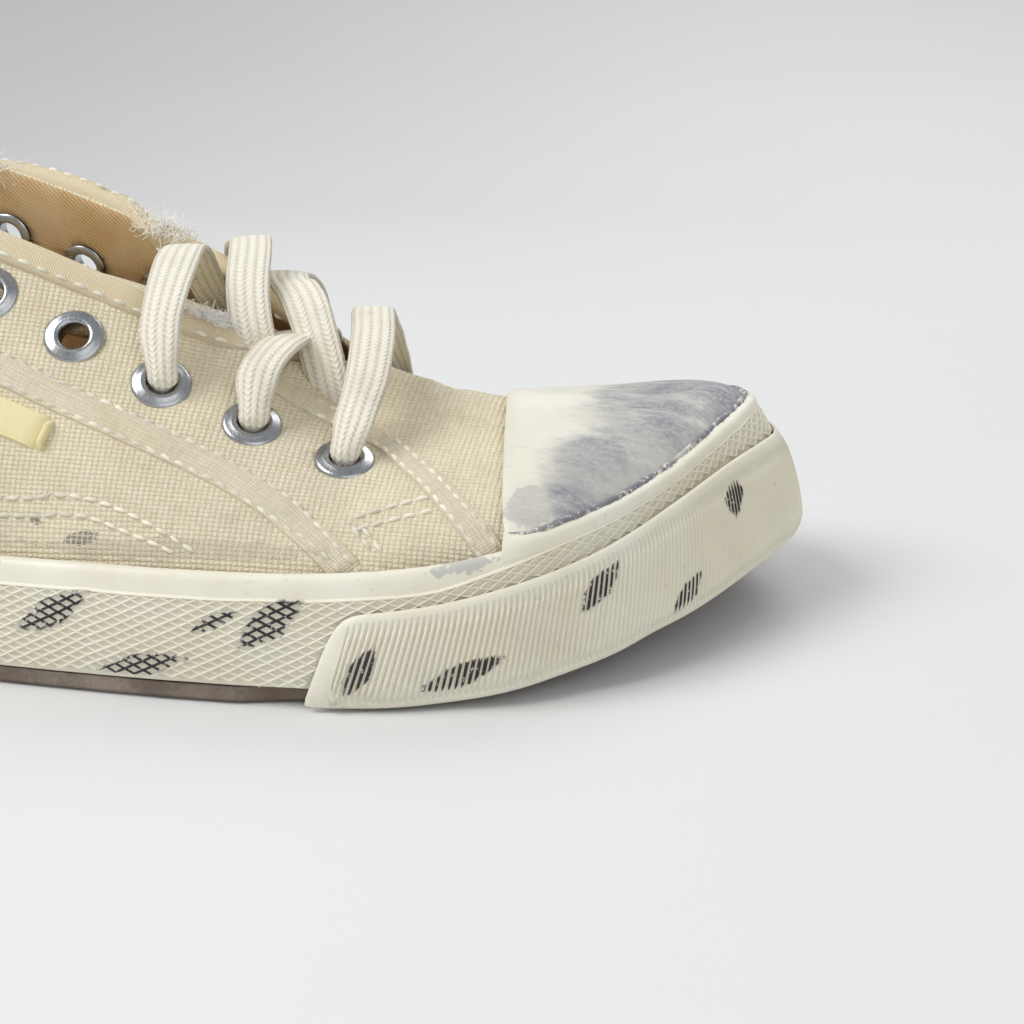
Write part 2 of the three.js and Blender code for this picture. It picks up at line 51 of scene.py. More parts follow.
HEEL_TURN_X = -106 * MM   # behind this the sides turn round the heel
BELLY_Z = 18 * MM         # the height the upper swells out from


# ---- camera, lights and floor ----
def set_camera():
    turn, tip = math.radians(9), math.radians(16.5)
    bpy.ops.object.camera_add(
        location=(137.2 * MM, -291.4 * MM, 107 * MM), rotation=(math.pi / 2 - tip, 0, turn)
    )
    camera = bpy.context.object
    camera.data.lens = 57.5
    camera.data.sensor_width = 36
    camera.data.clip_start = 0.01
    bpy.context.scene.camera = camera


def set_lights():
    lamps = [
        ("window_light", (-0.55, -0.35, 0.85), 0.6, 7.6),
        ("front_light", (0.65, -0.75, 0.5), 0.8, 2.1),
        ("back_light", (0.35, 0.8, 0.8), 0.7, 4.0),
    ]
    for name, place, size, power in lamps:
        bpy.ops.object.light_add(type="AREA", location=place)
        lamp = bpy.context.object
        lamp.name = name
        lamp.data.size = size
        lamp.data.energy = power
        aim = Vector((0.03, 0, 0.03)) - Vector(place)
        lamp.rotation_euler = aim.to_track_quat("-Z", "Y").to_euler()
    world = bpy.data.worlds.new("soft_room")
    bpy.context.scene.world = world
    world.use_nodes = True
    sky = world.node_tree.nodes["Background"]
    sky.inputs["Color"].default_value = (0.93, 0.96, 1.0, 1)
    sky.inputs["Strength"].default_value = 0.42
    bpy.context.scene.view_settings.view_transform = "Standard"


# ---- node recipes ----
class Recipe:
    """A node tree being filled in. A value is a number, a colour or another node's socket."""

    def __init__(self, tree):
        self.tree = tree

    def put(self, socket, value):
        if isinstance(value, bpy.types.NodeSocket):
            self.tree.links.new(value, socket)
        elif value is not None:
            socket.default_value = value

    def add(self, kind, values=None, **settings):
        node = self.tree.nodes.new("ShaderNode" + kind)
        for key, setting in settings.items():
            setattr(node, key, setting)
        for key, value in (values or {}).items():
            self.put(node.inputs[key], value)
        return node

    def math(self, operation, a, b=None, clamp=False):
        node = self.add("Math", {0: a, 1: b}, operation=operation, use_clamp=clamp)
        return node.outputs[0]

    def gain(self, value, times, plus):
        names = {0: value, 1: times, 2: plus}
        return self.add("Math", names, operation="MULTIPLY_ADD").outputs[0]

    def shift(self, a, operation, b):
        return self.add("VectorMath", {0: a, 1: b}, operation=operation).outputs[0]

    def fade(self, value, low, high, start=0.0, end=1.0):
        names = {"Value": value, "From Min": low, "From Max": high, "To Min": start, "To Max": end}
        return self.add("MapRange", names, interpolation_type="SMOOTHSTEP").outputs["Result"]

    def noise(self, vector, scale, detail=3.0, roughness=0.55):
        names = {"Vector": vector, "Scale": scale, "Detail": detail, "Roughness": roughness}
        return self.add("TexNoise", names).outputs["Fac"]

    def stretched(self, vector, scales, turn=(0, 0, 0)):
        names = {"Vector": vector, "Scale": scales, "Rotation": turn}
        return self.add("Mapping", names).outputs[0]

    def blend(self, amount, a, b, blend_type="MIX"):
        node = self.add("Mix", data_type="RGBA", blend_type=blend_type)
        self.put(node.inputs["Factor"], amount)
        self.put(node.inputs[6], a)
        self.put(node.inputs[7], b)
        return node.outputs[2]

    def split(self, vector):
        return self.add("SeparateXYZ", {0: vector}).outputs

    def use(self, group, **values):
        node = self.tree.nodes.new("ShaderNodeGroup")
        node.node_tree = group
        for key, value in values.items():
            self.put(node.inputs[key.replace("_", " ")], value)
        return node.outputs


def colour(red, green, blue):
    return (red, green, blue, 1.0)


def new_group(name, inputs, outputs):
    tree = bpy.data.node_groups.new(name, "ShaderNodeTree")
    for label, kind, value in inputs:
        socket = tree.interface.new_socket(label, in_out="INPUT", socket_type="NodeSocket" + kind)
        if value is not None:
            socket.default_value = value
    for label, kind in outputs:
        tree.interface.new_socket(label, in_out="OUTPUT", socket_type="NodeSocket" + kind)
    recipe = Recipe(tree)
    start = tree.nodes.new("NodeGroupInput").outputs
    finish = tree.nodes.new("NodeGroupOutput").inputs
    return tree, recipe, start, finish


def make_plain_weave():
    """Over-and-under threads on a cloth's own map, in millimetres."""
    tree, r, start, finish = new_group(
        "plain_weave",
        [("Cloth", "Vector", None), ("Pitch", "Float", 0.65), ("Slub", "Float", 0.3)],
        [("Height", "Float"), ("Gap", "Float"), ("Tone", "Float")],
    )
    drift = r.add("TexNoise", {"Vector": start["Cloth"], "Scale": 0.5, "Detail": 2.0}).outputs["Color"]
    drift = r.shift(drift, "SUBTRACT", (0.5, 0.5, 0.5))
    moved = r.add("VectorMath", {0: drift, "Scale": start["Slub"]}, operation="SCALE").outputs[0]
    u, v, _ = r.split(r.shift(start["Cloth"], "ADD", moved))
    wave = []
    for across in (u, v):
        turns = r.math("DIVIDE", r.math("MULTIPLY", across, math.pi), start["Pitch"])
        wave.append(r.math("SINE", turns))
    warp, weft = (r.math("ABSOLUTE", w) for w in wave)
    over = r.fade(r.math("MULTIPLY", *wave), -0.35, 0.35)
    lifted = r.math("MULTIPLY", warp, r.gain(weft, 0.45, 0.55))
    sunk = r.math("MULTIPLY", weft, r.gain(warp, 0.45, 0.55))
    height = r.math("ADD", r.math("MULTIPLY", over, lifted),
                    r.math("MULTIPLY", r.math("SUBTRACT", 1.0, over), sunk))
    r.put(finish["Height"], height)
    # Gap is high where neither thread rises; canvas_finish darkens it there as painted shade
    r.put(finish["Gap"], r.math("SUBTRACT", 1.0, r.math("MAXIMUM", warp, weft)))
    slubs = r.noise(r.stretched(start["Cloth"], (0.25, 2.2, 1)), 1.0, 2.0)
    threads = r.noise(r.stretched(start["Cloth"], (2.2, 0.25, 1)), 1.0, 2.0)
    r.put(finish["Tone"], r.math("MULTIPLY", r.math("ADD", slubs, threads), 0.5))
    return tree


def make_twill():
    """Slanted ribs crossed by fine threads, on a cloth's own map, in millimetres."""
    tree, r, start, finish = new_group(
        "twill",
        [("Cloth", "Vector", None), ("Pitch", "Float", 0.9)],
        [("Height", "Float"), ("Tone", "Float")],
    )
    u, v, _ = r.split(start["Cloth"])
    slant = r.math("DIVIDE", r.math("ADD", u, v), start["Pitch"])
    rib = r.math("ABSOLUTE", r.math("SINE", r.math("MULTIPLY", slant, math.pi)))
    cross = r.math("DIVIDE", r.math("SUBTRACT", u, v), start["Pitch"])
    knots = r.math("ABSOLUTE", r.math("SINE", r.math("MULTIPLY", cross, 1.5 * math.pi)))
    r.put(finish["Height"], r.math("MULTIPLY", rib, r.gain(knots, 0.3, 0.7)))
    r.put(finish["Tone"], r.noise(start["Cloth"], 0.8, 3.0))
    return tree


def make_grime():
    """Blotchy dirt that is thickest between two heights, on object coordinates in metres."""
    tree, r, start, finish = new_group(
        "grime",
        [("Place", "Vector", None), ("Scale", "Float", 60.0), ("Low", "Float", 0.0),
         ("High", "Float", 0.03), ("Cover", "Float", 0.5)],
        [("Mask", "Float")],
    )
    z = r.split(start["Place"])[2]
    rise = r.fade(z, start["High"], start["Low"])
    big = r.noise(start["Place"], start["Scale"], 4.0, 0.6)
    fine = r.noise(start["Place"], r.math("MULTIPLY", start["Scale"], 9.0), 3.0, 0.7)
    blotch = r.math("MULTIPLY", r.fade(big, 0.38, 0.68), r.fade(fine, 0.25, 0.7))
    r.put(finish["Mask"], r.math("MULTIPLY", r.math("MULTIPLY", blotch, rise), start["Cover"], True))
    return tree


def make_patch():
    """One soft-edged spot with a ragged rim: an ellipsoid turned about the Y axis."""
    tree, r, start, finish = new_group(
        "patch",
        [("Place", "Vector", None), ("Centre", "Vector", None), ("Half Size", "Vector", (0.01,) * 3),
         ("Slant", "Float", 0.0), ("Ragged", "Float", 0.35), ("Grain", "Float", 400.0)],
        [("Mask", "Float")],
    )
    off = r.shift(start["Place"], "SUBTRACT", start["Centre"])
    turned = r.add("VectorRotate", {"Vector": off, "Angle": start["Slant"]}, rotation_type="Y_AXIS")
    share = r.shift(turned.outputs[0], "DIVIDE", start["Half Size"])
    round_reach = r.add("VectorMath", {0: share}, operation="LENGTH").outputs["Value"]
    sizes = r.add("VectorMath", {0: share}, operation="ABSOLUTE").outputs[0]
    kite_reach = r.add("VectorMath", {0: sizes, 1: (1, 1, 1)}, operation="DOT_PRODUCT").outputs["Value"]
    reach = r.gain(round_reach, 0.5, r.math("MULTIPLY", kite_reach, 0.5))
    rag = r.math("SUBTRACT", r.noise(start["Place"], start["Grain"], 3.0, 0.7), 0.5)
    reach = r.math("ADD", reach, r.math("MULTIPLY", rag, r.math("MULTIPLY", start["Ragged"], 3.0)))
    r.put(finish["Mask"], r.fade(reach, 1.12, 0.88))
    return tree


def make_rub():
    """Rubbed smears: cloudy patches broken by fine streaks."""
    tree, r, start, finish = new_group(
        "rub",
        [("Place", "Vector", None), ("Scale", "Float", 35.0), ("Low", "Float", 0.45),
         ("High", "Float", 0.62)],
        [("Mask", "Float"), ("Streaks", "Float")],
    )
    cloud = r.fade(r.noise(start["Place"], start["Scale"], 5.0, 0.62), start["Low"], start["High"])
    long = r.stretched(start["Place"], (260, 1500, 1200), (0, 0, 0.5))
    streaks = r.noise(long, 1.0, 2.0, 0.6)
    speckle = r.noise(start["Place"], 1400.0, 2.0, 0.6)
    worn = r.math("MULTIPLY", cloud, r.fade(r.math("ADD", streaks, speckle), 0.7, 1.15, 0.45, 1.0))
    r.put(finish["Mask"], worn)
    r.put(finish["Streaks"], streaks)
    return tree


plain_weave = make_plain_weave()
twill = make_twill()
grime = make_grime()
patch = make_patch()
rub = make_rub()


def new_material(name, roughness, **sockets):
    material = bpy.data.materials.new(name)
    material.use_nodes = True
    shader = material.node_tree.nodes["Principled BSDF"]
    shader.inputs["Roughness"].default_value = roughness
    for key, value in sockets.items():
        shader.inputs[key.replace("_", " ")].default_value = value
    return material, Recipe(material.node_tree), shader.inputs


def coordinates(recipe):
    """Object coordinates in metres, and the piece's own cloth map in millimetres."""
    outputs = recipe.add("TexCoord").outputs
    return outputs["Object"], outputs["UV"]


def raise_bump(recipe, inputs, height, depth_mm, strength=1.0, under=None):
    names = {"Height": height, "Distance": depth_mm * MM, "Strength": strength, "Normal": under}
    normal = recipe.add("Bump", names).outputs["Normal"]
    recipe.put(inputs["Normal"], normal)
    return normal


def spots(recipe, place, rows, grain=400.0, ragged=0.35):
    """The union of listed spots. A row is centre and half sizes in millimetres, then slant."""
    total = None
    for centre, half, slant in rows:
        mask = recipe.use(
            patch, Place=place, Centre=[c * MM for c in centre], Half_Size=[h * MM for h in half],
            Slant=math.radians(slant), Grain=grain, Ragged=ragged,
        )["Mask"]
        total = mask if total is None else recipe.math("MAXIMUM", total, mask)
    return total


# ---- hand tools ----
def only(piece):
    bpy.ops.object.select_all(action="DESELECT")
    piece.select_set(True)
    bpy.context.view_layer.objects.active = piece


def open_mesh(piece):
    only(piece)
    bpy.ops.object.mode_set(mode="EDIT")
    bpy.ops.mesh.select_all(action="SELECT")


def close_mesh():
    bpy.ops.object.mode_set(mode="OBJECT")


def apply_modifier(piece, kind, **settings):
    only(piece)
    bpy.ops.object.modifier_add(type=kind)
    modifier = piece.modifiers[-1]
    for key, value in settings.items():
        setattr(modifier, key, value)
    bpy.ops.object.modifier_apply(modifier=modifier.name)


def round_off(piece, levels):
    apply_modifier(piece, "SUBSURF", levels=levels, render_levels=levels)


def copy_node(node, name):
    """A CAD node's shape as a new piece: merged, in quads, ready for finer work."""
    piece = bpy.data.objects.new(name, nodes[node].data.copy())
    bpy.context.collection.objects.link(piece)
    piece.data.materials.clear()
    open_mesh(piece)
    bpy.ops.mesh.remove_doubles(threshold=0.002 * MM)
    if piece.data.has_custom_normals:
        bpy.ops.mesh.customdata_custom_splitnormals_clear()
    bpy.ops.mesh.tris_convert_to_quads(
        face_threshold=math.radians(50), shape_threshold=math.radians(60)
    )
    close_mesh()
    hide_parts(node)
    return piece


def hold_long_faces(piece, longest):
    """Keeps wide closing faces flat and sharp while the rest of the piece is rounded."""
    mesh = piece.data
    crease = mesh.attributes.new("crease_edge", "FLOAT", "EDGE")
    wide = set()
    for face in mesh.polygons:
        corners = [mesh.vertices[v].co for v in face.vertices]
        if max((a - b).length for a in corners for b in corners) > longest:
            wide.update(face.edge_keys)
    for edge in mesh.edges:
        if tuple(sorted(edge.vertices)) in wide:
            crease.data[edge.index].value = 1.0


def smooth(piece, angle=None):
    only(piece)
    if angle is None:
        bpy.ops.object.shade_smooth()
    else:
        bpy.ops.object.shade_smooth_by_angle(angle=math.radians(angle))


def skin_of(piece):
    mesh = piece.data
    return BVHTree.FromPolygons([v.co for v in mesh.vertices], [p.vertices for p in mesh.polygons])


def finish(piece, slot, *materials):
    for material in materials:
        piece.data.materials.append(material)
    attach(piece, "root")
    return piece


def grid_piece(name, columns, rows, where, size=(1.0, 1.0), merge=True):
    """A flat grid whose points are moved one by one onto a shape; its map is in millimetres."""
    bpy.ops.object.select_all(action="DESELECT")
    bpy.ops.mesh.primitive_grid_add(x_subdivisions=columns, y_subdivisions=rows, size=2)
    piece = bpy.context.object
    piece.name = name
    mesh = piece.data
    for loop in mesh.uv_layers[0].data:
        loop.uv = (loop.uv[0] * size[0], loop.uv[1] * size[1])
    for vertex in mesh.vertices:
        i = round((vertex.co.x + 1) / 2 * columns)
        j = round((vertex.co.y + 1) / 2 * rows)
        vertex.co = where(i, j)
    open_mesh(piece)
    if merge:
        bpy.ops.mesh.remove_doubles(threshold=0.004 * MM)
    bpy.ops.mesh.normals_make_consistent(inside=False)
    close_mesh()
    return piece


def smooth_line(points, step):
    """Evenly spaced points on a smooth curve through given ones, all in metres."""
    fine = []
    for k in range(len(points) - 1):
        a, b, c, d = (points[max(0, min(len(points) - 1, k + n))] for n in (-1, 0, 1, 2))
        for s in range(24):
            t = s / 24
            fine.append(0.5 * (2 * b + (c - a) * t + (2 * a - 5 * b + 4 * c - d) * t * t
                               + (3 * b - a - 3 * c + d) * t ** 3))
    fine.append(points[-1].copy())
    length = sum((q - p).length for p, q in zip(fine, fine[1:]))
    count = max(2, round(length / step))
    even, walked, k = [fine[0]], 0.0, 0
    for n in range(1, count):
        goal = length * n / count
        while walked + (fine[k + 1] - fine[k]).length < goal:
            walked += (fine[k + 1] - fine[k]).length
            k += 1
        span = (fine[k + 1] - fine[k]).length
        even.append(fine[k].lerp(fine[k + 1], (goal - walked) / span))
    even.append(fine[-1])
    return even


def mm(points):
    return [Vector(p) * MM for p in points]


def side_points(skin, places, side):
    """Points on the shoe's side, found straight in from the side at each (along, up) in mm."""
    found = []
    for x, z in places:
        start = Vector((x * MM, side * 100 * MM, z * MM))
        spot = skin.ray_cast(start, Vector((0, -side, 0)))[0]
        if spot is not None:
            found.append(spot)
    return found


# ---- strips, stitches and threads that lie on a skin ----
def strip(name, skin, line, width, thickness, step=1.6):
    """A flat tape laid along a line on a skin, its edges rounded down onto it. Sizes in mm."""
    path = smooth_line(line, step * MM)
    last = len(path) - 1
    across = (-0.5, -0.46, -0.25, 0, 0.25, 0.46, 0.5)
    height = (-0.15, 0.85, 1, 1, 1, 0.85, -0.15)
    rings = []
    for k, point in enumerate(path):
        normal = skin.find_nearest(point)[1]
        ahead = (path[min(last, k + 1)] - path[max(0, k - 1)]).normalized()
        aside = normal.cross(ahead).normalized()
        row = []
        rise = thickness * min(1.0, k / 2, (last - k) / 2)
        sink = 0.5 * MM if k in (0, last) else 0.0
        for a, h in zip(across, height):
            spot, up = skin.find_nearest(point + aside * a * width * MM)[:2]
            row.append(spot + up * (h * rise * MM - sink))
        for a in (0.4, -0.4):
            spot, up = skin.find_nearest(point + aside * a * width * MM)[:2]
            row.append(spot - up * (0.3 * rise * MM + 0.1 * MM + sink))
        row.append(row[0].copy())
        rings.append(row)
    around = len(rings[0]) - 1
    piece = grid_piece(name, last, around, lambda i, j: rings[i][j], (last * step, width * 1.6))
    close_ends(piece)
    smooth(piece, 50)
    return piece


def close_ends(piece):
    open_mesh(piece)
    bpy.ops.mesh.select_all(action="DESELECT")
    bpy.ops.mesh.select_mode(type="EDGE")
    bpy.ops.mesh.select_non_manifold(extend=False, use_wire=False, use_boundary=True,
                                     use_multi_face=False, use_non_contiguous=False,
                                     use_verts=False)
    bpy.ops.mesh.edge_face_add()
    bpy.ops.mesh.select_all(action="SELECT")
    bpy.ops.mesh.normals_make_consistent(inside=False)
    bpy.ops.mesh.select_mode(type="VERT")
    close_mesh()


def scatter(name, shape, places):
    """One mesh with a copy of the shape at each place."""
    points, faces = [], []
    corners = [v.co.copy() for v in shape.data.vertices]
    rings = [tuple(p.vertices) for p in shape.data.polygons]
    for place in places:
        base = len(points)
        points.extend(place @ corner for corner in corners)
        faces.extend(tuple(base + v for v in ring) for ring in rings)
    mesh = bpy.data.meshes.new(name)
    mesh.from_pydata(points, [], faces)
    piece = bpy.data.objects.new(name, mesh)
    bpy.context.collection.objects.link(piece)
    smooth(piece)
    return piece


def model_stitch():
    """One stitch: a bead of thread, dipping at both ends."""
    bpy.ops.object.select_all(action="DESELECT")
    bpy.ops.mesh.primitive_uv_sphere_add(segments=6, ring_count=5, radius=1)
    stitch = bpy.context.object
    for vertex in stitch.data.vertices:
        x, y, z = vertex.co.z, vertex.co.x, vertex.co.y
        vertex.co = Vector((x * 1.2, y * 0.40, z * 0.40 - 0.28 * x * x)) * MM
    open_mesh(stitch)
    bpy.ops.mesh.normals_make_consistent(inside=False)
    close_mesh()
    return stitch


def stitch_places(skin, line, pitch=2.8, lift=0.22):
    path = smooth_line(line, pitch * MM)
    places = []
    for a, b in zip(path, path[1:]):
        middle = (a + b) / 2
        spot, normal = skin.find_nearest(middle)[:2]
        if spot is None:
            continue
        ahead = (b - a).normalized()
        aside = normal.cross(ahead).normalized()
        ahead = aside.cross(normal)
        turn = Matrix((ahead, aside, normal)).transposed().to_4x4()
        wobble = Matrix.Rotation(dice.uniform(-0.12, 0.12), 4, "Z")
        places.append(Matrix.Translation(spot + normal * lift * MM) @ turn @ wobble)
    return places


# ---- a walk round the sole: from the back of the heel, lateral side, toe, medial side ----
HEEL_CENTRE = Vector((-106, 0, 0)) * MM
TOE_CENTRE = Vector((94, 8, 0)) * MM
WALK = [(58, 180, 270, HEEL_CENTRE, HEEL_CENTRE), (200, 270, 270, HEEL_CENTRE, TOE_CENTRE),
        (150, 270, 450, TOE_CENTRE, TOE_CENTRE), (200, 450, 450, TOE_CENTRE, HEEL_CENTRE),
        (58, 450, 540, HEEL_CENTRE, HEEL_CENTRE)]
WALK_LENGTH = sum(run[0] for run in WALK)


def walk(share):
    """(middle, outward) at a share of the way round."""
    left = (share % 1.0) * WALK_LENGTH
    for length, start, end, a, b in WALK:
        if left <= length:
            t = left / length
            turn = math.radians(start + (end - start) * t)
            return a.lerp(b, t), Vector((math.cos(turn), math.sin(turn), 0))
        left -= length
    return WALK[0][3].copy(), Vector((-1, 0, 0))


def touch(skin, share, z):
    """The point and sense of a skin met from outside at a height."""
    middle, outward = walk(share)
    start = middle + outward * 120 * MM + UP * z
    return skin.ray_cast(start, -outward, 118 * MM)[:2]


def even_shares(skin, height, count, start=0.0, end=1.0):
    """Shares that step evenly along the wall itself, and its length in metres."""
    fine = 900
    shares, lengths = [], [0.0]
    before = None
    for k in range(fine + 1):
        share = start + (end - start) * k / fine
        spot = touch(skin, share, height(share))[0]
        shares.append(share)
        if k:
            lengths.append(lengths[-1] + (spot - before).length)
        before = spot
    even, n = [], 0
    for k in range(count + 1):
        goal = lengths[-1] * k / count
        while n < fine - 1 and lengths[n + 1] < goal:
            n += 1
        t = (goal - lengths[n]) / max(1e-9, lengths[n + 1] - lengths[n])
        even.append(shares[n] + (shares[n + 1] - shares[n]) * min(1, t))
    return even, lengths[-1]


def wall_span(skin, share):
    """Lowest and highest z where the outer wall is met."""
    middle, outward = walk(share)
    hits = []
    for k in range(180):
        z = k * 0.25 * MM
        spot = touch(skin, share, z)[0]
        if spot is not None:
            hits.append((z, (spot - middle).dot(outward)))
    farthest = max(reach for _, reach in hits)
    heights = [z for z, reach in hits if reach > farthest - 11 * MM]
    return min(heights), max(heights)


class Wall:
    """The outer wall of a ring-shaped piece, with its lower and upper edge at each share."""

    def __init__(self, piece, start=0.0, end=1.0, samples=160):
        self.skin = skin_of(piece)
        self.start, self.end, self.samples = start, end, samples
        steps = [start + (end - start) * k / samples for k in range(samples + 1)]
        spans = [wall_span(self.skin, s) for s in steps]
        self.lows = [low for low, _ in spans]
        self.highs = [high for _, high in spans]

    def level(self, rows, share):
        at = (share - self.start) / (self.end - self.start) * self.samples
        k = max(0, min(self.samples - 1, int(at)))
        return rows[k] + (rows[k + 1] - rows[k]) * (at - k)

    def low(self, share):
        return self.level(self.lows, share)

    def high(self, share):
        return self.level(self.highs, share)

    def point(self, share, z, lift):
        spot, normal = touch(self.skin, share, z)
        if spot is None:
            return None
        return spot + normal * lift


# ---- finishes ----
def canvas_finish(name, light, dark, pitch=0.98, dirty=0.5, depth=0.32):
    """Cream canvas: woven, unevenly faded, grey with dirt near the sole, stained in places."""
    material, r, shader = new_material(name, 0.95, Specular_IOR_Level=0.15)
    place, cloth = coordinates(r)
    weave = r.use(plain_weave, Cloth=cloth, Pitch=pitch, Slub=0.28)
    base = r.blend(r.fade(weave["Tone"], 0.36, 0.64), dark, light)
    faded = r.fade(r.noise(place, 28, 4, 0.6), 0.36, 0.66)
    base = r.blend(r.math("MULTIPLY", faded, 0.3), base, colour(0.84, 0.77, 0.60))
    yellowed = r.fade(r.noise(place, 55, 5, 0.65), 0.52, 0.72)
    base = r.blend(r.math("MULTIPLY", yellowed, 0.35), base, colour(0.66, 0.52, 0.31))
    # painted shade: the gaps between the threads are darkened
    base = r.blend(r.math("MULTIPLY", weave["Gap"], 0.45), base, colour(0.42, 0.33, 0.19))
    low_dirt = r.use(grime, Place=place, Scale=70.0, Low=20 * MM, High=36 * MM, Cover=dirty)
    base = r.blend(low_dirt["Mask"], base, colour(0.27, 0.25, 0.20))
    high_dirt = r.use(grime, Place=place, Scale=45.0, Low=30 * MM, High=95 * MM, Cover=0.22)
    base = r.blend(high_dirt["Mask"], base, colour(0.42, 0.36, 0.25))
    smudges = spots(r, place, [
        ((25.2, -45.5, 25.2), (3.2, 6, 1.3), 12), ((17, -45, 27.5), (1.6, 6, 0.8), -20),
        ((-48, -42, 30), (4, 6, 1.2), 5), ((30, 47, 27), (4, 8, 1.4), -8),
    ], grain=900.0)
    caught = r.fade(r.math("ADD", weave["Height"], r.noise(place, 1500, 2, 0.6)), 0.75, 1.15)
    base = r.blend(r.math("MULTIPLY", smudges, r.gain(caught, 0.65, 0.05)), base,
                   colour(0.10, 0.10, 0.12))
    trodden = spots(r, place, [
        ((40, -46, 24.2), (34, 8, 1.9), 1), ((-40, -43, 25), (38, 8, 2.4), -1),
        ((30, 47, 24.6), (40, 8, 2.2), 0), ((-60, 38, 26), (40, 8, 2.4), 0),
        ((-141, 0, 30), (10, 22, 4), 0),
    ], grain=120.0, ragged=0.9)
    base = r.blend(r.math("MULTIPLY", trodden, r.gain(caught, 0.24, 0.08)), base,
                   colour(0.24, 0.22, 0.19))
    r.put(shader["Base Color"], base)
    fuzz = r.noise(cloth, 6.0, 2.0, 0.7)
    height = r.math("ADD", weave["Height"], r.math("MULTIPLY", fuzz, 0.35))
    raise_bump(r, shader, height, depth, 0.9)
    shader["Sheen Weight"].default_value = 0.15
    return material


def twill_finish(name, light, dark, pitch=1.0, depth=0.14):
    material, r, shader = new_material(name, 0.95, Specular_IOR_Level=0.15)
    place, cloth = coordinates(r)
    rib = r.use(twill, Cloth=cloth, Pitch=pitch)
    # painted shade: the low parts between the ribs take the dark colour, the raised ribs the light one
    base = r.blend(r.fade(rib["Height"], 0.1, 0.8), dark, light)
    worn = r.fade(r.noise(place, 60, 5, 0.6), 0.42, 0.68)
    base = r.blend(r.math("MULTIPLY", worn, 0.35), base, colour(0.78, 0.66, 0.45))
    stain = r.use(grime, Place=place, Scale=40.0, Low=15 * MM, High=100 * MM, Cover=0.4)
    base = r.blend(stain["Mask"], base, colour(0.30, 0.21, 0.12))
    r.put(shader["Base Color"], base)
    height = r.math("ADD", rib["Height"], r.math("MULTIPLY", rib["Tone"], 0.4))
    raise_bump(r, shader, height, depth, 0.8)
    return material


WALL_INK = [  # centre, half sizes and slant of each dark worn spot on the sole wall
    ((21.5, -51, 13.9), (7.6, 12, 2.6), 29), ((59.5, -52, 14.6), (6.8, 12, 2.9), 38),
    ((50, -52, 14.2), (4.6, 12, 1.2), 24), ((37, -52, 5.8), (9.0, 12, 2.1), 13),
    ((-30, -46, 11), (7.0, 12, 2.4), 28), ((-88, -41, 8), (7.6, 12, 2.2), 14),
    ((40, 52, 13), (6.8, 12, 2.6), -30), ((-24, 42, 8), (7.6, 12, 2.2), -16),
    ((-96, 38, 15), (5.8, 12, 2.8), -34), ((-143, -6, 14), (12, 5.0, 3.0), 0),
]
BUMPER_INK = [
    ((74.4, -53, 7.4), (2.0, 12, 4.9), -32), ((90.6, -49.5, 6.4), (8.0, 12, 2.2), 22),
    ((111.7, -36.5, 18.4), (2.1, 12, 5.4), -36), ((125.4, -21, 12.4), (1.8, 12, 4.8), -32),
    ((132.4, -5, 26.0), (1.7, 12, 3.8), 8), ((104, 51, 9), (6.5, 12, 2.4), -20),
    ((128, 44, 20), (2.1, 12, 4.8), 30),
]


def rubber_finish(name, ink_rows=None, ink_grain=500.0, line_edge=0.14):
    """Aged cream rubber, yellowed and rubbed, with painted shade on its sunk parts; ink shows on its
    raised lines in worn spots.
    """
    material, r, shader = new_material(name, 0.5, Specular_IOR_Level=0.4)
    place, _ = coordinates(r)
    cloud = r.fade(r.noise(place, 40, 4, 0.6), 0.35, 0.68)
    base = r.blend(cloud, colour(0.80, 0.75, 0.60), colour(0.86, 0.83, 0.71))
    low_dirt = r.use(grime, Place=place, Scale=80.0, Low=0.0, High=14 * MM, Cover=0.35)
    base = r.blend(low_dirt["Mask"], base, colour(0.42, 0.37, 0.28))
    freckles = r.fade(r.noise(place, 700, 2, 0.5), 0.68, 0.76)
    base = r.blend(r.math("MULTIPLY", freckles, 0.3), base, colour(0.35, 0.33, 0.30))
    if ink_rows:
        line = r.add("Attribute", attribute_name="raised_line").outputs["Fac"]
        # painted shade: the sunk parts between the raised lines are darkened
        sunk = r.fade(line, 0.85, 0.15)
        base = r.blend(r.math("MULTIPLY", sunk, 0.30), base, colour(0.47, 0.43, 0.33))
        ink = spots(r, place, ink_rows, grain=ink_grain, ragged=0.3)
        breaks = r.fade(r.noise(place, 900, 3, 0.7), 0.32, 0.42)
        crests = r.fade(line, line_edge, line_edge + 0.28)
        strength = r.math("MULTIPLY", r.math("MULTIPLY", ink, breaks), crests)
        base = r.blend(strength, base, colour(0.035, 0.028, 0.035))
        r.put(shader["Roughness"], r.fade(strength, 0.0, 1.0, 0.5, 0.7))
    else:
        r.put(shader["Roughness"], r.fade(cloud, 0.0, 1.0, 0.6, 0.42))
    scuff = spots(r, place, [((90, -45, 23.6), (7, 6, 1.3), 10), ((98, 46, 24), (7, 6, 1.4), -10)],
                  grain=600.0, ragged=0.9)
    base = r.blend(r.math("MULTIPLY", scuff, 0.5), base, colour(0.30, 0.31, 0.36))
    r.put(shader["Base Color"], base)
    skin = r.noise(place, 900, 3, 0.6)
    dents = r.noise(place, 120, 3, 0.5)
    raise_bump(r, shader, r.math("ADD", r.math("MULTIPLY", skin, 0.3), dents), 0.12, 0.5)
    return material


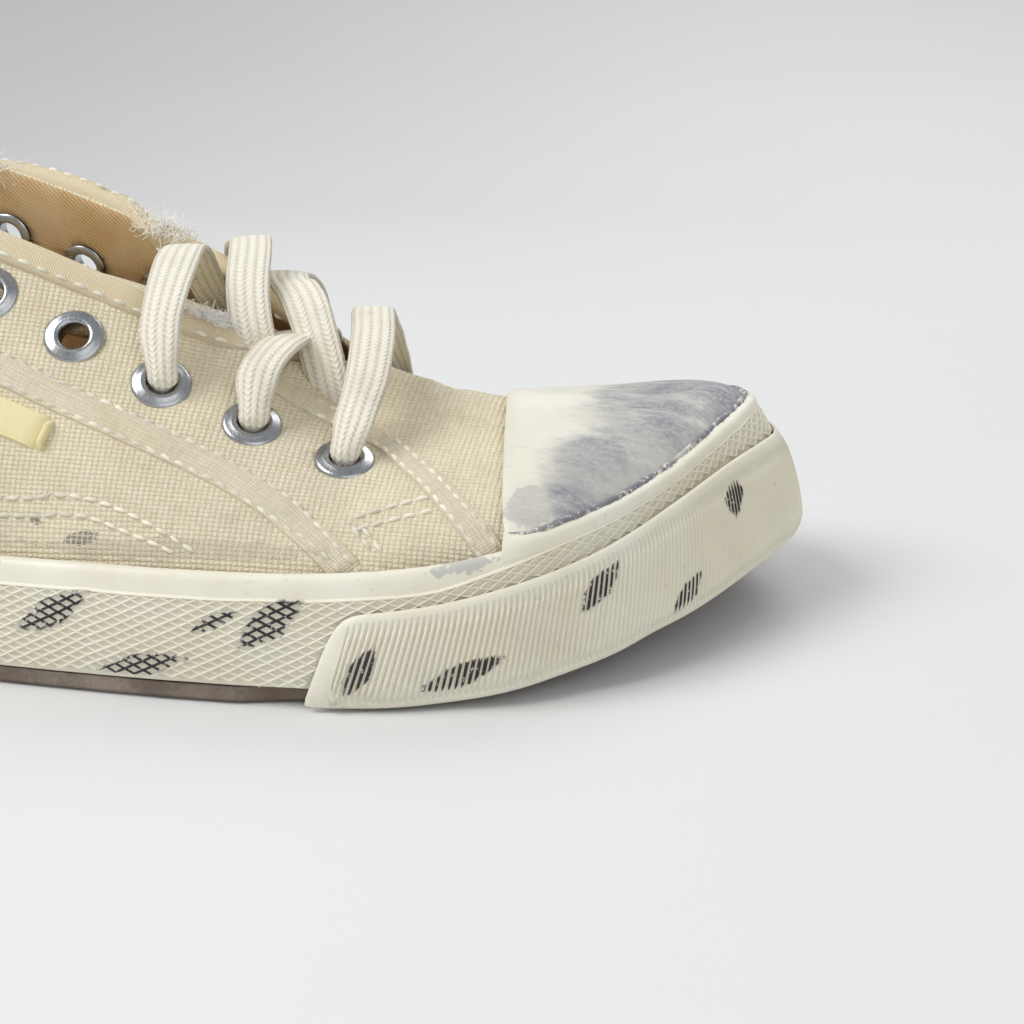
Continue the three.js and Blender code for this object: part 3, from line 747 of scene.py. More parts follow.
def cap_finish():
    """Smooth cream rubber rubbed to blue-grey, with painted highlight streaks, fine cracks and scratches.
    """
    material, r, shader = new_material("rubbed_cap_rubber", 0.45, Specular_IOR_Level=0.45)
    place, _ = coordinates(r)
    cream = r.blend(r.noise(place, 50, 3, 0.5), colour(0.72, 0.68, 0.56), colour(0.84, 0.81, 0.70))
    rubbed = r.use(rub, Place=place, Scale=30.0, Low=0.34, High=0.62)
    cloud = r.noise(r.stretched(place, (20, 30, 34), (0, 0, 0.5)), 1.0, 9, 0.66)
    forward = r.fade(r.split(place)[0], 94 * MM, 112 * MM, -0.13, 0.13)
    cover = r.fade(r.math("ADD", cloud, forward), 0.42, 0.64)
    lower = spots(r, place, [((100, -34, 31), (8, 7, 3.5), 15)], grain=200.0, ragged=0.6)
    smear = r.math("MULTIPLY", r.math("MAXIMUM", cover, r.math("MULTIPLY", lower, 0.5)),
                   r.gain(rubbed["Mask"], 0.55, 0.45))
    base = r.blend(smear, cream, colour(0.225, 0.235, 0.265))
    # painted highlight: light grey horizontal streaks across the rubbed smear
    highlight_streaks = r.fade(r.noise(r.stretched(place, (60, 240, 200), (0, 0, 0.6)), 1.0, 4, 0.6), 0.5, 0.66)
    base = r.blend(r.math("MULTIPLY", r.math("MULTIPLY", highlight_streaks, smear), 0.4), base,
                   colour(0.66, 0.65, 0.62))
    cracks = r.add("TexVoronoi", {"Vector": r.stretched(place, (1100, 420, 900), (0, 0, 0.5)),
                                  "Scale": 1.0, "Randomness": 1.0}, feature="DISTANCE_TO_EDGE")
    crack = r.fade(cracks.outputs["Distance"], 0.06, 0.0)
    zone = r.fade(r.noise(place, 75, 3, 0.6), 0.54, 0.66)
    crack = r.math("MULTIPLY", crack, zone)
    scratch = r.fade(r.noise(r.stretched(place, (90, 2600, 900), (0, 0, 0.9)), 1.0, 2, 0.5), 0.68, 0.76)
    marks = r.math("MAXIMUM", r.math("MULTIPLY", crack, 0.22), r.math("MULTIPLY", scratch, 0.4))
    base = r.blend(marks, base, colour(0.22, 0.22, 0.24))
    r.put(shader["Base Color"], base)
    r.put(shader["Roughness"], r.fade(smear, 0.0, 1.0, 0.38, 0.62))
    height = r.math("SUBTRACT", r.math("MULTIPLY", r.noise(place, 300, 4, 0.6), 0.5), marks)
    raise_bump(r, shader, height, 0.12, 0.6)
    return material


def bead_finish():
    """The cap's edge roll: cream rubber scuffed dark grey along its crown."""
    material, r, shader = new_material("scuffed_edge_rubber", 0.6, Specular_IOR_Level=0.3)
    place, _ = coordinates(r)
    flakes = r.fade(r.noise(place, 700, 4, 0.75), 0.36, 0.52)
    along = r.fade(r.noise(place, 55, 3, 0.5), 0.30, 0.5, 0.45, 1.0)
    scuff = r.math("MULTIPLY", flakes, along)
    base = r.blend(scuff, colour(0.83, 0.80, 0.69), colour(0.21, 0.21, 0.24))
    r.put(shader["Base Color"], base)
    raise_bump(r, shader, r.noise(place, 700, 4, 0.7), 0.3, 0.9)
    return material


def thread_finish(name, shade, faded=0.72):
    material, r, shader = new_material(name, 0.85, Specular_IOR_Level=0.2)
    place, _ = coordinates(r)
    worn = r.fade(r.noise(place, 90, 3, 0.6), 0.35, 0.7)
    dark = colour(*(faded * c for c in shade))
    r.put(shader["Base Color"], r.blend(worn, dark, colour(*shade)))
    twist = r.add("TexWave", {"Vector": r.stretched(place, (2600, 2600, 2600)), "Scale": 0.35},
                  bands_direction="DIAGONAL")
    raise_bump(r, shader, twist.outputs["Fac"], 0.05, 0.6)
    return material


def lace_finish():
    """Flat woven cotton: lengthwise ribs crossed by slanted threads."""
    material, r, shader = new_material("woven_lace_cotton", 0.8, Specular_IOR_Level=0.25)
    place, cloth = coordinates(r)
    u, v, _ = r.split(cloth)
    rib = r.math("ABSOLUTE", r.math("SINE", r.math("MULTIPLY", v, math.pi / 1.3)))
    lean = r.math("PINGPONG", r.math("ADD", v, 0.65), 1.3)
    slant = r.math("SINE", r.math("MULTIPLY", r.gain(lean, 1.1, u), 2 * math.pi / 1.0))
    frizz = r.noise(cloth, 4.0, 3.0, 0.7)
    height = r.math("ADD", r.gain(rib, 0.75, r.math("MULTIPLY", slant, 0.17)),
                    r.math("MULTIPLY", frizz, 0.4))
    # painted shade: the low parts between the ribs take the darker brown, the raised ribs the ivory
    base = r.blend(r.fade(height, 0.0, 1.0), colour(0.79, 0.71, 0.54), colour(0.95, 0.91, 0.79))
    soiled = r.fade(r.noise(place, 70, 4, 0.6), 0.48, 0.72)
    base = r.blend(r.math("MULTIPLY", soiled, 0.35), base, colour(0.60, 0.52, 0.37))
    r.put(shader["Base Color"], base)
    raise_bump(r, shader, height, 0.34, 1.0)
    shader["Sheen Weight"].default_value = 0.2
    return material


def satin_finish():
    material, r, shader = new_material("pale_satin", 0.45, Specular_IOR_Level=0.5)
    place, cloth = coordinates(r)
    weave = r.use(plain_weave, Cloth=cloth, Pitch=0.35, Slub=0.1)
    base = r.blend(weave["Tone"], colour(0.76, 0.65, 0.34), colour(0.86, 0.76, 0.44))
    dirt = r.use(grime, Place=place, Scale=90.0, Low=30 * MM, High=60 * MM, Cover=0.25)
    r.put(shader["Base Color"], r.blend(dirt["Mask"], base, colour(0.45, 0.38, 0.22)))
    raise_bump(r, shader, weave["Height"], 0.05, 0.6)
    return material


def steel_finish():
    material, r, shader = new_material("dull_plated_steel", 0.3, Metallic=1.0)
    place, _ = coordinates(r)
    scratch = r.noise(r.stretched(place, (3000, 400, 900)), 1.0, 3, 0.6)
    tarnish = r.fade(r.noise(place, 260, 4, 0.6), 0.45, 0.7)
    base = r.blend(r.math("MULTIPLY", tarnish, 0.35), colour(0.46, 0.47, 0.48), colour(0.27, 0.27, 0.27))
    r.put(shader["Base Color"], base)
    r.put(shader["Roughness"], r.fade(scratch, 0.3, 0.7, 0.22, 0.34))
    raise_bump(r, shader, scratch, 0.01, 0.4)
    return material


def tread_finish():
    material, r, shader = new_material("taupe_tread_rubber", 0.75, Specular_IOR_Level=0.3)
    place, _ = coordinates(r)
    cloud = r.noise(place, 80, 4, 0.6)
    base = r.blend(r.fade(cloud, 0.35, 0.65), colour(0.15, 0.115, 0.09), colour(0.24, 0.19, 0.155))
    dust = r.use(grime, Place=place, Scale=120.0, Low=0.0, High=8 * MM, Cover=0.5)
    r.put(shader["Base Color"], r.blend(dust["Mask"], base, colour(0.38, 0.35, 0.30)))
    raise_bump(r, shader, r.noise(place, 800, 4, 0.7), 0.15, 0.7)
    return material


def floor_finish():
    material, r, shader = new_material("pale_floor_paint", 0.75)
    place, _ = coordinates(r)
    tone = r.noise(place, 3, 4, 0.5)
    r.put(shader["Base Color"], r.blend(tone, colour(0.74, 0.74, 0.73), colour(0.78, 0.78, 0.77)))
    return material


# ---- upper ----
def cloth_map(piece):
    """A map in millimetres: along the shoe, and up its side; near the heel it turns the corner."""
    mesh = piece.data
    layer = mesh.uv_layers.active or mesh.uv_layers.new(name="UVMap")
    for loop in mesh.loops:
        point = mesh.vertices[loop.vertex_index].co
        side = abs(point.y - SPINE_Y)
        corner = max(0.0, min(1.0, (-0.098 - point.x) / 0.035))
        along = point.x - 0.8 * corner * (0.035 - side)
        up = point.z - 0.7 * side
        layer.data[loop.index].uv = (along / MM, up / MM)


def outward_at(point, normal):
    radial = Vector((0, point.y - SPINE_Y, point.z - BELLY_Z))
    if point.x < HEEL_TURN_X:
        radial.x = point.x - HEEL_TURN_X
    return normal if normal.dot(radial) > 0 else -normal


# soft troughs in the canvas: points along each in mm, then depth and half width
CREASES = [
    ([(14, -46, 29), (34, -47, 27.5), (54, -47, 26)], 0.9, 3.2),
    ([(-4, -43, 31), (12, -44, 32), (30, -43.5, 31)], 0.5, 3.0),
    ([(58, -43, 27), (70, -36, 33), (78, -25, 37)], 0.8, 3.4),
    ([(78, -20, 38.5), (80, -6, 41), (79, 6, 42.5), (77, 20, 40)], 0.7, 3.2),
    ([(60, 46, 27), (70, 38, 32), (76, 27, 37)], 0.9, 3.4),
    ([(8, 45, 29), (28, 48, 28), (48, 49, 27)], 0.9, 3.2),
    ([(-30, -41, 44), (-14, -41, 40), (2, -42, 37)], 0.5, 4.0),
    ([(-72, -37, 40), (-56, -40, 33), (-38, -42, 30)], 1.1, 4.5),
    ([(-92, -35, 50), (-78, -36, 44), (-66, -38, 35)], 1.0, 4.5),
    ([(-74, 36, 42), (-56, 38, 34), (-36, 40, 31)], 1.1, 4.5),
    ([(-96, 33, 50), (-82, 34, 43), (-70, 36, 35)], 0.9, 4.5),
    ([(-128, -22, 45), (-139, -8, 43), (-141, 8, 44), (-132, 24, 46)], 0.6, 5.5),
    ([(-126, -24, 60), (-136, -10, 58), (-137, 6, 59), (-128, 20, 61)], 0.4, 4.5),
    ([(-44, -36, 62), (-34, -35, 55), (-26, -36, 50)], 0.6, 4.0),
    ([(-44, 37, 62), (-34, 37, 55), (-24, 38, 50)], 0.6, 4.0),
]


def crease_cloth(piece, creases):
    mesh = piece.data
    normals = [outward_at(v.co, v.normal.copy()) for v in mesh.vertices]
    lines = []
    for points, depth, half in creases:
        path = smooth_line(mm(points), 2 * MM)
        lines.append((path, depth * MM, half * MM))
    for vertex, normal in zip(mesh.vertices, normals):
        moved = 0.0
        for path, depth, half in lines:
            if (vertex.co - path[len(path) // 2]).length > 60 * MM:
                continue
            k = min(range(len(path)), key=lambda n: (vertex.co - path[n]).length_squared)
            far = (vertex.co - path[k]).length / half
            if far < 3:
                ends = math.sin(math.pi * (k + 0.5) / len(path)) ** 0.7
                moved -= depth * ends * (1 - 1.1 * far * far) * math.exp(-far * far)
        vertex.co += normal * moved


def uneven(piece, size, strength):
    """A slight unevenness all over, as on used cloth or rubber."""
    texture = bpy.data.textures.new(piece.name + "_unevenness", "CLOUDS")
    texture.noise_scale = size * MM
    apply_modifier(piece, "DISPLACE", texture=texture, strength=strength * MM, mid_level=0.5,
                   texture_coords="LOCAL")


def sharp_corners(mesh, lowest):
    """The corners along sharp edges above a height: which join which, and the faces' senses there."""
    faces_of, links, senses = {}, {}, {}
    for face in mesh.polygons:
        for key in face.edge_keys:
            faces_of.setdefault(key, []).append(face.normal.copy())
    for (a, b), normals in faces_of.items():
        low = min(mesh.vertices[a].co.z, mesh.vertices[b].co.z)
        if len(normals) != 2 or low < lowest or normals[0].angle(normals[1], 0) < math.radians(48):
            continue
        for near, far in ((a, b), (b, a)):
            links.setdefault(near, set()).add(far)
            senses.setdefault(near, []).extend(normals)
    return links, senses


def rim_frames(piece):
    """Round the foot opening: points of its outer edge, with the cloth's outward sense
    and the sense towards the opening."""
    mesh = piece.data
    links, senses = sharp_corners(mesh, 38 * MM)
    groups, left = [], set(links)
    while left:
        group = [left.pop()]
        for v in group:
            fresh = links[v] & left
            left -= fresh
            group.extend(fresh)
        groups.append(group)

    def length(group):
        along = [mesh.vertices[v].co.x for v in group]
        return max(along) - min(along)

    rim = max(groups, key=length)
    outer = []
    for v in rim:
        point = mesh.vertices[v].co.copy()
        radial = Vector((0, point.y - SPINE_Y, point.z - BELLY_Z))
        if point.x < HEEL_TURN_X:
            radial = Vector((point.x - HEEL_TURN_X, point.y - SPINE_Y, 0))
        radial.normalize()
        turns = [n.dot(radial) for n in senses[v]]
        if min(turns) > -0.45:
            outer.append((point, senses[v][turns.index(max(turns))]))
    outer.sort(key=lambda item: math.atan2(item[0].y - SPINE_Y, item[0].x + 30 * MM))
    kept = [outer[0]]
    for item in outer[1:]:
        if (item[0] - kept[-1][0]).length > 1.2 * MM:
            kept.append(item)
    for _ in range(3):
        kept = [(kept[k - 1][0] * 0.25 + kept[k][0] * 0.5 + kept[(k + 1) % len(kept)][0] * 0.25,
                 kept[k][1]) for k in range(len(kept))]
    frames = []
    for k, (point, out) in enumerate(kept):
        ahead = (kept[(k + 1) % len(kept)][0] - kept[k - 1][0]).normalized()
        out = (out - ahead * out.dot(ahead)).normalized()
        frames.append((point, out, out.cross(ahead).normalized()))
    return frames


def make_hem(frames, cloth):
    """The folded band over the collar and eyestay edge, outside and inside."""
    section = [(-0.3, -4.7), (0.5, -4.6), (0.85, -4.2), (0.78, -3.5), (0.98, -2.0), (0.95, -0.6),
               (0.45, 0.55), (-1.0, 0.95), (-2.45, 0.5), (-2.9, -0.6), (-2.92, -2.0), (-2.75, -3.5),
               (-2.8, -4.2), (-2.5, -4.6), (-1.7, -4.7)]
    line = [f[0] for f in frames] + [frames[0][0]]
    even = smooth_line(line, 1.8 * MM)[:-1]
    even_frames = []
    for point in even:
        near = sorted(frames, key=lambda f: (f[0] - point).length)[:3]
        weights = [1 / ((f[0] - point).length + 0.5 * MM) for f in near]
        out = sum((f[1] * w for f, w in zip(near, weights)), Vector()).normalized()
        up = sum((f[2] * w for f, w in zip(near, weights)), Vector()).normalized()
        even_frames.append((point, out, up))
    count = len(even_frames)
    around = len(section)

    def where(i, j):
        point, out, up = even_frames[i % count]
        a, b = section[j % around]
        puff = 1 + 0.10 * math.sin(i % count * 0.83) * math.sin(i % count * 0.31 + j % around)
        return point + out * (a * puff if a > 0 else a) * MM + up * b * MM

    piece = grid_piece("hem_band", count, around, where, (count * 1.8, 22))
    smooth(piece)
    finish(piece, "canvas", cloth)
    return even_frames


def make_upper(canvas, lining):
    piece = copy_node("upper", "canvas_upper")
    frames = rim_frames(piece)
    round_off(piece, 2)
    crease_cloth(piece, CREASES)
    uneven(piece, 17, 0.7)
    cloth_map(piece)
    finish(piece, "canvas", canvas, lining)
    for face in piece.data.polygons:
        out = outward_at(face.center, face.normal.copy())
        face.material_index = 0 if out.dot(face.normal) > 0 else 1
    smooth(piece)
    return piece, frames


# seams on the quarter as (along, up) in mm, seen straight from the side
TAPE_TOP = [(-114, 62.5), (-96, 58.5), (-74, 54.5), (-52, 56.5), (-34, 59.5), (-20, 59.8),
            (-8, 57.8), (5.8, 53), (17, 48.4), (28.1, 44.2), (37.2, 40.7), (46, 37.3),
            (54.2, 33.7), (61.3, 30.1), (67.5, 26.2), (71, 23.6), (73.6, 20.6)]
TAPE_LOW = [(-114, 57), (-96, 52.9), (-74, 48.9), (-52, 50.9), (-34, 53.6), (-20, 54.2),
            (-8, 52.2), (7, 47.8), (18.2, 43.6), (29.3, 39.7), (38.5, 36.4), (47.6, 33),
            (55.5, 29.4), (62.5, 26.1), (67, 23.6), (70.4, 20.6)]
QUARTER_SEAMS = [
    [(-62, 34), (-30, 32), (10.1, 30.7), (20.7, 31.6), (27.9, 30.8), (37.2, 27.8), (45.5, 24)],
    [(-62, 31), (-30, 29), (10.4, 28.1), (23.9, 28.7), (32.1, 26.8), (42, 23.8)],
    [(70.3, 28.8), (76.1, 30.2), (82.3, 31.4)], [(71, 27.4), (77, 28.7), (83.5, 29.9)],
    [(70.4, 28), (72.6, 26.4), (74.6, 24.8)], [(72, 28), (74.4, 26.2), (76.6, 24.4)],
]
# lines through (along, across, up) in mm
BACK_SEAM = [(-112, 34, 26), (-118, 30, 50), (-122, 24, 66)]
HEEL_STRIP = [(-144, 0, 28), (-143, 0, 45), (-139, 0, 60), (-135, 0, 70)]
VAMP_HEM = [(49, -17.5, 49), (57, -18.2, 44.8), (64, -18.6, 41.3), (71.5, -20, 37.6),
            (80.4, -27.5, 33.4), (87.5, -35, 29.4), (94, -41.6, 25.9), (97, -44.6, 23)]


def halfway(a, b):
    return [(p + q) / 2 for p, q in zip(a, b)]


def along_line(points, count=70):
    line = smooth_line(points, 1 * MM)
    return [line[round(k * (len(line) - 1) / count)] for k in range(count + 1)]


def make_seams(skin, frames_even, tape_cloth, thread):
    """Eyestay tape, vamp hem and heel strip, with every stitch line on them."""
    pieces, stitch_rows = [], []
    for side, word in ((-1, "lateral"), (1, "medial")):
        top = along_line(side_points(skin, TAPE_TOP, side))
        low = along_line(side_points(skin, TAPE_LOW, side))
        tape = strip(f"eyestay_tape_{word}", skin, halfway(top, low), 5.6, 0.55)
        pieces.append(finish(tape, "canvas", tape_cloth))
        stitch_rows += [top[1:], [p + UP * 0.9 * MM for p in low[1:]]]
        for seam in QUARTER_SEAMS:
            stitch_rows.append(side_points(skin, seam, side))
        hem_line = []
        for x, y, z in VAMP_HEM:
            place = Vector((x if side < 0 else x - 3, 0.5 + (y - 0.5) * -side, z)) * MM
            away = Vector((0, side * 0.6, 0.8))
            hem_line.append(skin.ray_cast(place + away * 25 * MM, -away)[0] or place)
        hem = strip(f"vamp_hem_{word}", skin, hem_line, 5.0, 0.6)
        pieces.append(finish(hem, "canvas", tape_cloth))
        for aside in (2.0, -1.6):
            shifted = [p + Vector((-0.45, side * 0.75, -0.3)) * aside * MM for p in hem_line[1:]]
            stitch_rows.append(shifted)
        stitch_rows.append([Vector((x, y * side, z)) * MM for x, y, z in BACK_SEAM])
    heel = strip("heel_strip", skin, mm(HEEL_STRIP), 13, 0.6)
    pieces.append(finish(heel, "canvas", tape_cloth))
    for y in (-5, 5):
        stitch_rows.append(mm([(-143, y, 28), (-142, y, 45), (-138, y, 60), (-134.5, y, 69)]))
    stitch = model_stitch()
    tape_skins = [skin_of(piece) for piece in pieces]
    places = []
    for row in stitch_rows:
        for place in stitch_places(skin, row):
            places.append(raise_to(place, tape_skins))
    count = len(frames_even)
    for k in range(0, count, 2):
        point, out, up = frames_even[k]
        ahead = (frames_even[(k + 1) % count][0] - frames_even[k - 1][0]).normalized()
        for a, sense in ((0.96, 1), (-2.95, -1)):
            turn = Matrix((ahead, out.cross(ahead) * sense, out * sense)).transposed().to_4x4()
            spot = point + out * a * MM - up * 3.5 * MM
            places.append(Matrix.Translation(spot) @ turn)
    piece = scatter("stitches", stitch, places)
    bpy.data.objects.remove(stitch)
    return finish(piece, "canvas", thread)


def raise_to(place, skins):
    """Lifts a stitch onto the tape over the canvas, if there is one under it."""
    spot = place.translation.copy()
    normal = (place.to_3x3() @ UP).normalized()
    best = 0.0
    for skin in skins:
        hit, _, _, far = skin.ray_cast(spot + normal * 3 * MM, -normal, 4 * MM)
        if hit is not None:
            best = max(best, 3 * MM - far)
    return Matrix.Translation(normal * best) @ place


# ---- tongue and footbed ----
WRINKLES = [  # points along each in mm, then depth and half width
    ([(-20, -12, 70), (-8, 0, 68), (4, 14, 62)], 0.8, 4),
    ([(8, -12, 59), (22, 4, 58), (32, 16, 53)], 0.7, 4),
    ([(30, -10, 53), (40, 4, 53), (48, 12, 49)], 0.6, 3.5),
]


def make_tongue(canvas, lining):
    piece = copy_node("tongue", "tongue_flap")
    round_off(piece, 2)
    wrinkles = [(smooth_line(mm(points), 4 * MM), depth, half) for points, depth, half in WRINKLES]
    mesh = piece.data
    for vertex in mesh.vertices:
        vertex.co.x += 0.9 * max(0.0, vertex.co.x - 62 * MM)
        for path, depth, half in wrinkles:
            far = min((vertex.co - p).length for p in path) / (half * MM)
            vertex.co.z -= depth * MM * math.exp(-far * far)
    cloth_map(piece)
    finish(piece, "tongue_cloth", canvas, lining)
    for face in mesh.polygons:
        face.material_index = 0 if face.normal.z > -0.1 else 1
    smooth(piece)
    return piece


def make_footbed(cloth):
    piece = copy_node("insole", "footbed")
    hold_long_faces(piece, 30 * MM)
    open_mesh(piece)
    bpy.ops.mesh.subdivide(number_cuts=3)
    close_mesh()
    mesh = piece.data
    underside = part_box("insole")[0].z + 1.2 * MM
    for vertex in mesh.vertices:
        if vertex.co.z < underside:
            continue
        heel = math.exp(-(((vertex.co.x + 0.105) / 0.026) ** 2 + (vertex.co.y / 0.020) ** 2))
        ball = math.exp(-(((vertex.co.x - 0.055) / 0.030) ** 2 + ((vertex.co.y - 0.004) / 0.028) ** 2))
        vertex.co.z -= (1.0 * heel + 0.8 * ball) * MM
    layer = mesh.uv_layers.active or mesh.uv_layers.new(name="UVMap")
    for loop in mesh.loops:
        point = mesh.vertices[loop.vertex_index].co
        layer.data[loop.index].uv = (point.x / MM, point.y / MM)
    smooth(piece, 40)
    return finish(piece, "footbed", cloth)


# ---- sole wall, bumper and cap ----
BAND = 3.9 * MM          # smooth rounded band above the pattern
DIAMOND_LONG, DIAMOND_TALL = 3.3 * MM, 1.6 * MM


def give_thickness(sheet, depth):
    """Closes a moulded sheet into a thin solid let into the rubber behind it."""
    middle = sheet.data.polygons[len(sheet.data.polygons) // 2]
    outward = middle.center * Vector((1, 1, 0))
    side = -1 if middle.normal.dot(outward) > 0 else 1
    apply_modifier(sheet, "SOLIDIFY", thickness=depth * MM, offset=side)


def mark_raised(piece, test):
    marks = piece.data.attributes.new("raised_line", "FLOAT", "POINT")
    for vertex in piece.data.vertices:
        marks.data[vertex.index].value = 1.0 if test(vertex) else 0.0


def make_wall(rubber):
    piece = copy_node("foxing", "sole_wall")
    hold_long_faces(piece, 30 * MM)
    round_off(piece, 2)
    uneven(piece, 30, 0.25)
    smooth(piece, 60)
    return finish(piece, "sole_wall", rubber)


def band_height(share):
    """The smooth band is full along the quarters and narrow round the toe."""
    foot, outward = walk(share)
    reach = foot.x + outward.x * 45 * MM
    ease = max(0.0, min(1.0, (reach - 84 * MM) / (24 * MM)))
    return BAND + (1.2 * MM - BAND) * ease * ease * (3 - 2 * ease)


def make_diamonds(wall_piece, bumper_piece, rubber):
    """A sheet of small lozenges between raised crossing lines, wrapped round the sole wall."""
    wall = Wall(wall_piece)
    bumper_skin = skin_of(bumper_piece)
    middle = lambda share: (wall.low(share) + wall.high(share)) / 2
    shares, length = even_shares(wall.skin, middle, 720)
    tallest = max(high - low for low, high in zip(wall.lows, wall.highs))
    columns = round(length / DIAMOND_LONG)
    rows = math.ceil(tallest / DIAMOND_TALL)
    bpy.ops.object.select_all(action="DESELECT")
    bpy.ops.mesh.primitive_grid_add(x_subdivisions=columns, y_subdivisions=rows, size=1)
    sheet = bpy.context.object
    sheet.name = "diamond_band"
    for vertex in sheet.data.vertices:
        vertex.co = Vector(((vertex.co.x + 0.5) * length,
                            (vertex.co.y + 0.5) * rows * DIAMOND_TALL, 0))
    open_mesh(sheet)
    bpy.ops.mesh.poke()
    bpy.ops.mesh.select_all(action="DESELECT")
    close_mesh()
    points = sheet.data.vertices
    for edge in sheet.data.edges:
        gap = points[edge.vertices[0]].co - points[edge.vertices[1]].co
        edge.select = min(abs(gap.x), abs(gap.y)) < 0.01 * MM
    bpy.ops.object.mode_set(mode="EDIT")
    bpy.ops.mesh.select_mode(type="EDGE")
    bpy.ops.mesh.dissolve_edges(use_verts=False)
    bpy.ops.mesh.select_mode(type="FACE")
    bpy.ops.mesh.select_all(action="SELECT")
    bpy.ops.mesh.inset(thickness=0.32 * MM, depth=0, use_individual=True, use_boundary=True)
    close_mesh()
    corners_lift = {}
    for face in sheet.data.polygons:
        for v in face.vertices:
            corners_lift.setdefault(v, []).append(face.select)
    pads = {v for v, picked in corners_lift.items() if any(picked)}
    mark_raised(sheet, lambda vertex: vertex.index not in pads)
    drop = []
    for vertex in sheet.data.vertices:
        at = vertex.co.x / length * (len(shares) - 1)
        k = min(len(shares) - 2, int(at))
        share = shares[k] + (shares[k + 1] - shares[k]) * (at - k)
        low, high = wall.low(share), wall.high(share)
        z = high - band_height(share) - vertex.co.y
        lift = (0.05 if vertex.index in pads else 0.48) * MM
        spot = wall.point(share, z, lift) if z > low + 0.2 * MM else None
        if spot is not None:
            outward = walk(share)[1]
            if bumper_skin.ray_cast(spot - outward * 2 * MM, outward, 8 * MM)[0] is not None:
                spot = None if below_rim(bumper_skin, share, z) else spot
        if spot is None:
            drop.append(vertex.index)
            spot = Vector((0, 0, 0))
        vertex.co = spot
    open_mesh(sheet)
    bpy.ops.mesh.select_all(action="DESELECT")
    bpy.ops.mesh.select_mode(type="VERT")
    close_mesh()
    for v in drop:
        sheet.data.vertices[v].select = True
    bpy.ops.object.mode_set(mode="EDIT")
    bpy.ops.mesh.delete(type="VERT")
    bpy.ops.mesh.select_all(action="SELECT")
    bpy.ops.mesh.remove_doubles(threshold=0.02 * MM)
    bpy.ops.mesh.delete_loose()
    bpy.ops.mesh.select_all(action="SELECT")
    bpy.ops.mesh.normals_make_consistent(inside=False)
    close_mesh()
    give_thickness(sheet, 0.7)
    smooth(sheet, 35)
    return finish(sheet, "sole_wall", rubber)


def below_rim(skin, share, z):
    """True if the bumper still covers the wall a little higher up."""
    return touch(skin, share, z + 0.8 * MM)[0] is not None


DENTS = [(105.7, -42, 10.7, 1.3, 9), (88, -50, 3, 0.8, 7), (121, -27, 6, 0.7, 7),
         (134, 12, 8, 0.6, 10), (112, 49, 9, 0.8, 9)]  # centre, depth and half width in mm
RIBS, STEPS_TO_A_RIB = 196, 4


def make_bumper(rubber):
    piece = copy_node("toe_bumper", "toe_bumper_body")
    round_off(piece, 2)
    for x, y, z, depth, half in DENTS:
        for vertex in piece.data.vertices:
            far = (vertex.co - Vector((x, y, z)) * MM).length / (half * MM)
            inward = (TOE_CENTRE - vertex.co) * Vector((1, 1, 0))
            vertex.co += inward.normalized() * depth * MM * math.exp(-far * far)
    smooth(piece, 60)
    return finish(piece, "toe_bumper", rubber)


def make_ribs(body, rubber):
    """Fine upright ribs over the bumper, slanted at its lateral end and fading at the tip."""
    skin = skin_of(body)
    steps = [k / 1200 for k in range(1201)]
    met = [s for s in steps if touch(skin, s, 9 * MM)[0] is not None]
    start, end = min(met) + 0.003, max(met) - 0.003
    wall = Wall(body, start, end, 90)
    middle = lambda share: (wall.low(share) * 0.5 + wall.high(share) * 0.5)
    columns = RIBS * STEPS_TO_A_RIB
    shares, length = even_shares(wall.skin, middle, columns, start, end)
    rows = 12

    def where(i, j):
        up = j / rows
        slant = 5.0 * (1 - i / columns) ** 3
        k = max(0, min(columns, i + slant * (up - 0.5) * STEPS_TO_A_RIB))
        whole = min(columns - 1, int(k))
        share = shares[whole] + (shares[whole + 1] - shares[whole]) * (k - whole)
        low, high = wall.low(share) + 0.5 * MM, wall.high(share) - 0.5 * MM
        z = low + (high - low) * up
        ridge = 0.5 - 0.5 * math.cos(i / STEPS_TO_A_RIB * 2 * math.pi)
        edge = min(1, 6 * up, 6 * (1 - up), i / 3, (columns - i) / 3)
        plain = math.exp(-((share - 0.545) / 0.022) ** 2) * (1 if up > 0.45 else up / 0.45)
        wave = 0.25 * math.sin(share * 260 + up * 3) * (1 - up)
        depth = (0.04 + 0.50 * ridge * (1 - plain) + wave * 0.3) * edge - 0.06 * (1 - edge)
        spot = None
        while spot is None:
            spot = wall.point(share, z, depth * MM)
            z += (0.3 if up < 0.5 else -0.3) * MM
        return spot

    piece = grid_piece("bumper_ribs", columns, rows, where, (length / MM, 18), merge=False)
    marks = piece.data.attributes.new("raised_line", "FLOAT", "POINT")
    for vertex in piece.data.vertices:
        spot, normal = skin.find_nearest(vertex.co)[:2]
        marks.data[vertex.index].value = min(1.0, (vertex.co - spot).dot(normal) / (0.44 * MM))
    give_thickness(piece, 0.7)
    smooth(piece, 70)
    return finish(piece, "toe_bumper", rubber)


def make_cap(rubber):
    piece = copy_node("toe_cap", "rubber_cap")
    round_off(piece, 3)
    uneven(piece, 24, 0.5)
    smooth(piece, 60)
    return finish(piece, "toe_cap", rubber)


